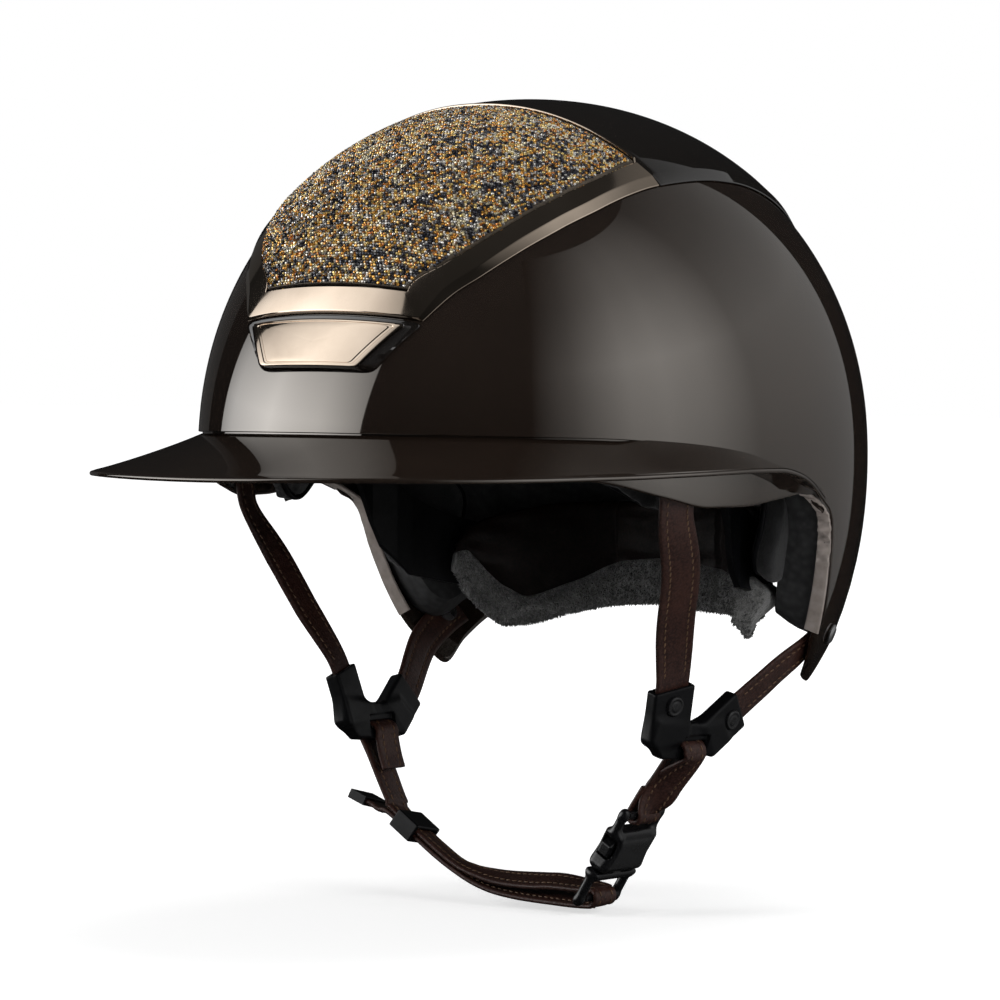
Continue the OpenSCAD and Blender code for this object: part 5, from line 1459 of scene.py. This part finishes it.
def piping(corners, thick, edge, sunk, inset=2.4, radius=1.15):
    """Cord sewn into the cover just inside the plan's edge, a tube along the rounded outline."""
    line = np.concatenate([np.linspace(p, q, max(2, int(math.dist(p, q))), endpoint=False)
                           for p, q in zip(corners, corners[1:] + corners[:1])])
    line = rounded(line, 25)
    way = unit(np.roll(line, -1, 0) - np.roll(line, 1, 0))
    ahead = np.roll(line, -1, 0)
    turn = np.sign(np.sum(line[:, 0] * ahead[:, 1] - line[:, 1] * ahead[:, 0]))
    line = rounded(line + turn * inset * np.stack([-way[:, 1], way[:, 0]], 1), 25)
    height = thick * math.sqrt(1 - (1 - inset / edge) ** 2)
    middle = on_foam((np.column_stack([line, np.full(len(line), height)]), []), sunk)[0]
    along, out = unit(np.roll(middle, -1, 0) - np.roll(middle, 1, 0)), outward(middle)
    rows = [middle + radius * (out * math.cos(a) + np.cross(out, along) * math.sin(a))
            for a in circle(10)]
    return swept(rows, ring=True)


def finer(thing):
    thing.modifiers.new("fine", "SUBSURF").render_levels = 1
    thing.modifiers["fine"].levels = 1


def fill(thing, channels, cap=0.0022, voxel=0.0026, pressure=4.0, steps=20):
    """Cloth pressure in the cover: remesh, simulate, cap how far a point moves, and apply. The
    sewn channels come last, because a remesh would lose them."""
    remesh = thing.modifiers.new("remesh", "REMESH")
    remesh.mode, remesh.voxel_size = "VOXEL", voxel
    depsgraph = bpy.context.evaluated_depsgraph_get()
    mesh = bpy.data.meshes.new_from_object(thing.evaluated_get(depsgraph), depsgraph=depsgraph)
    thing.modifiers.clear()
    material = thing.data.materials[0]
    thing.data = mesh
    rest = np.array([v.co for v in mesh.vertices])
    cloth = thing.modifiers.new("cloth", "CLOTH")
    cloth.settings.quality, cloth.settings.mass = 4, 0.3
    cloth.settings.use_pressure, cloth.settings.uniform_pressure_force = True, pressure
    cloth.settings.effector_weights.gravity = 0
    cloth.point_cache.frame_start, cloth.point_cache.frame_end = 1, steps
    for step in range(1, steps + 1):
        scene.frame_set(step)
    done = thing.evaluated_get(bpy.context.evaluated_depsgraph_get()).to_mesh()
    move = np.array([v.co for v in done.vertices]) - rest
    thing.modifiers.clear()
    scene.frame_set(1)
    far = np.linalg.norm(move, axis=1, keepdims=True)
    move *= np.minimum(1, cap / np.maximum(far, 1e-9))
    out = outward(rest * 1000)
    move -= out * np.maximum((move * out).sum(1, keepdims=True), 0)
    now = rest + move
    round_the_head = np.degrees(np.arctan2(now[:, 0], -now[:, 1])) * per_degree
    for u in channels:
        near = (round_the_head - u * per_degree) / channel_wide
        now += out * channel_deep * np.exp(-near ** 2)[:, None]
    mesh.vertices.foreach_set("co", now.ravel())
    mesh.materials.clear()
    mesh.materials.append(material)
    mesh.shade_smooth()
    finer(thing)
    print(thing.name, "filled, moved at most", round(float(far.max()) * 1000, 1),
          "mm before the cap")


brow = around_foam((-46, -5), (-38, -9), (-26, -9), (-17, -4), (17, -4), (26, -9), (38, -9),
                   (46, -5), (46, 26), (30, 30), (-30, 30), (-46, 26))
temple = around_foam((48, -7), (55, -13), (63, -22), (70, -22), (78, -10), (78, 24), (70, 29),
                     (50, 28))
wing = around_foam((103.5, -41), (106, -51), (112, -54.5), (120, -48), (128, -36), (129, -20),
                   (125, -11), (114, -8), (104.5, -12))
# Each plan goes with its thickness, the width of its rounded edge, how far it sinks into the
# foam, the degrees of its channels, and the low and high corner of its field.
plans = {"front_pad": (brow, 5.5, 7, 0, (-26, -9, 9, 26), (-84, -20, -2), (84, 34, 8)),
         "temple_pad_left": (temple, 6.0, 7, 0, (63,), (80, -26, -2), (141, 33, 9)),
         "wing_pad_left": (wing, 11.0, 9, 4.0, (), (177, -59, -2), (230, -4, 14))}
pads, pipes = {}, []
for node, (corners, thick, edge, sunk, channels, low, high) in plans.items():
    part = on_foam(skin(pad_shape(corners, thick, edge), low, high, (1.3, 1.3, 0.8)), sunk)
    pads[node] = piece(node + "_cushion", [part], cloth, "helmet", [node], sharp=180)
    fill(pads[node], channels)
    pipes.append(piping(corners, thick, edge, sunk))
piece("pad_piping", pipes + [mirrored(pipe) for pipe in pipes[1:]], nylon, "helmet", [],
      sharp=180)
for node in ("temple_pad", "wing_pad"):
    copy = pads[node + "_left"].data.copy()
    copy.transform(Matrix.Diagonal((-1, 1, 1, 1)))
    copy.flip_normals()
    thing = bpy.data.objects.new(node + "_right_cushion", copy)
    scene.collection.objects.link(thing)
    finer(thing)
    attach(thing, "helmet")
    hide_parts(node + "_right")
    pads[node + "_right"] = thing
print("pads:", list(pads))

# %% [markdown]
# ## Crown pad
# The crown pad is one die-cut quilt: three rings joined by eight spokes, with windows between them
# where air passes. Its field is written in the dome's own terms, how far round, how high and how
# deep, and read back from each point of an ordinary grid.

# %% Crown pad
quilt_back, quilt_thick, spoke_every = -26.4, 4.0, 45


def crown_field(p):
    deep = np.where(p[..., 1] < 0, front_deep, rear_deep)
    size = ((np.abs(p[..., 0]) / half_wide) ** power + (np.abs(p[..., 1]) / deep) ** power
            + (np.abs(p[..., 2]) / dome_high) ** power) ** (1 / power)
    depth = quilt_back - np.linalg.norm(p, axis=-1) * (1 - 1 / size)
    up = np.degrees(np.arcsin(np.clip((p[..., 2] / dome_high / size), 0, 1) ** (power / 2)))
    turn = np.degrees(np.arctan2(p[..., 0], -p[..., 1]))
    turn = np.abs((turn + spoke_every / 2) % spoke_every - spoke_every / 2)
    spoke = np.maximum(turn * 1.7 * np.cos(np.radians(up)) - 5.2, np.abs(up - 53) * 2.0 - 50)
    d = spoke
    for ring in (32, 54, 74):
        d = melt(d, np.abs(up - ring) * 2.0 - 8, 4)
    rise = quilt_thick * np.sqrt(1 - (1 - np.clip(-d / 4.5, 0, 1)) ** 2)
    return np.maximum(d, (np.abs(depth - rise / 2) - rise / 2) * 0.7)


crown = skin(crown_field, (-90, -108, 30), (90, 115, 106), 1.5)
quilt = piece("crown_pad_quilt", [crown], cloth, "helmet", ["crown_pad"], sharp=180)
print("crown pad:", len(crown[1]), "faces")

# %% [markdown]
# ## Nape padding
# The pads on the cradle are wrapped in soft leather above and in fleece below, where they touch
# the neck. The leather creases where it bends, and the fleece's pile is thousands of small tufts
# that lie downwards. The padding spans the housing and both arms.

# %% Nape padding
old_leather = finish("creased_leather", "pebble",
                     dict(Scale=1100, Dark=(0.005, 0.0025, 0.002), Light=(0.012, 0.0055, 0.0042),
                          Polished=0.42, Dull=0.58), relief=0.0001, Specular_IOR_Level=0.25)
cradle_wide, cradle_deep, cradle_power, box_back = 78, 96, 2.3, 87.7


def nape_reach(u):
    """How far out the cradle's arms stand, a flattened oval in plan."""
    s, c = np.abs(np.sin(np.radians(u))), np.abs(np.cos(np.radians(u)))
    oval = (s / cradle_wide) ** cradle_power + (c / cradle_deep) ** cradle_power
    return oval ** (-1 / cradle_power)


near_low = curve((112, -46), (115, -53), (117.5, -62), (119, -66), (121, -65.5), (125, -61),
                 (132, -60), (150, -61.5), (163, -60.5), (180, -57.5))
far_low = curve((112, -46), (118, -56), (124, -63), (130, -67), (137, -66.5), (149, -62.5),
                (163, -59), (180, -57.5))
nape_high = curve((112, -36), (117, -29), (130, -24), (150, -20), (163, -19.5), (180, -19.5))
fleece_top = curve((112, 0.75), (118, 0.6), (124, 0.46), (130, 0.35), (137, 0.24), (150, 0.28),
                   (165, 0.42), (180, 0.45))
foot, head = curve((112, 0), (180, 0)), curve((112, 1), (180, 1))


def nape_point(u, a, share, thick, crease, lowest, squeeze):
    """Point of the roll at plan direction u and angle a round its section. share gives the part
    of its height that it covers, lowest its lower edge, squeeze how far round it is pushed."""
    c, s = np.cos(a), np.sin(a)
    up = (np.sign(s) * np.abs(s) ** 0.75 + 1) / 2
    deep = (1 - np.sign(c) * np.abs(c) ** 0.7) / 2
    low, high = lowest(u), nape_high(u)
    bottom, top = (line(u) for line in share)
    z = low + (high - low) * (bottom + (top - bottom) * up)
    folds = (np.sin(z * 0.62 + u * 0.22) + 0.6 * np.sin(z * 1.1 - u * 0.12 + 1)
             + 0.3 * np.sin(u * 0.7 + z * 0.3))
    taper = np.clip((u - 112.5) / 3, 0.25, 1) ** 0.5 * np.clip((z + 70) / 10, 0.25, 1)
    arm_reach = nape_reach(u)
    behind = np.maximum(arm_reach - box_back / np.cos(np.radians(180 - u)), 2.7)
    behind = np.where(u > 163, behind, 2.7)
    wrap = np.exp(-((z + 51) / 7) ** 2) * np.clip((142 - u) / 15, 0, 1)
    reach = (arm_reach - behind * (1 - wrap) + 5.5 * wrap * (1 - deep)
             - deep * (thick + crease * folds) * taper)
    return polar(180 - (180 - u) * squeeze, reach, z)


def pile(shape, tufts=3600):
    """Small three-sided tufts over the inner side of the fleece, lying down and a little aside."""
    u = chance.uniform(113.5, 179.5, tufts)
    a = chance.uniform(math.radians(125), math.radians(310), tufts)
    root = nape_point(u, a, *shape)
    n = unit(np.cross(nape_point(u + 0.5, a, *shape) - root,
                      nape_point(u, a + 0.02, *shape) - root))
    n *= np.sign(-(n * polar(u, 1, 0)).sum(1, keepdims=True) + 1e-9)
    lie = unit(n * 0.75 + np.array([0, 0, -0.8]) + chance.normal(0, 0.3, root.shape))
    side = unit(np.cross(lie, chance.normal(0, 1, root.shape)))
    other = np.cross(lie, side)
    long = chance.uniform(0.8, 1.7, tufts)[:, None]
    wide = chance.uniform(0.35, 0.6, tufts)[:, None]
    ring = [root - n * 0.3 + (side * math.cos(t) + other * math.sin(t)) * wide
            for t in (0, 2.1, 4.2)]
    points = np.stack(ring + [root + lie * long], 1).reshape(-1, 3)
    return points, repeated([(0, 1, 3), (1, 2, 3), (2, 0, 3)], 4, tufts)


stands_for = {"nape_leather_left": ["nape_pad_left"], "nape_leather_right": ["nape_pad_right"],
              "nape_fleece_left": ["nape_pad_centre"]}
spread, crease = np.linspace(112.5, 179.9, 130), 0.3
for hand, flip, lowest, squeeze in (("left", 1, near_low, 1.0), ("right", -1, far_low, 0.88)):
    for kind, material, share, thick in (
            ("leather", old_leather, (lambda u: fleece_top(u) - 0.08, head), 6.0),
            ("fleece", fleece, (foot, fleece_top), 7.5)):
        shape = (share, thick, crease, lowest, squeeze)
        rows = np.stack([nape_point(spread, a, *shape) for a in circle(40)], 1)
        parts = {"": net(rows, loop=True, caps=True)}
        if kind == "fleece":
            parts["_pile"] = pile(shape)
        for ending, part in parts.items():
            name = "nape_" + kind + ending + "_" + hand
            part = part if flip == 1 else mirrored(part)
            thing = piece(name, [part], material, None, stands_for.get(name, []), sharp=80,
                          weld=0 if ending else 1e-6)
            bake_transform(thing)
print("nape padding: leather and fleece, left and right")
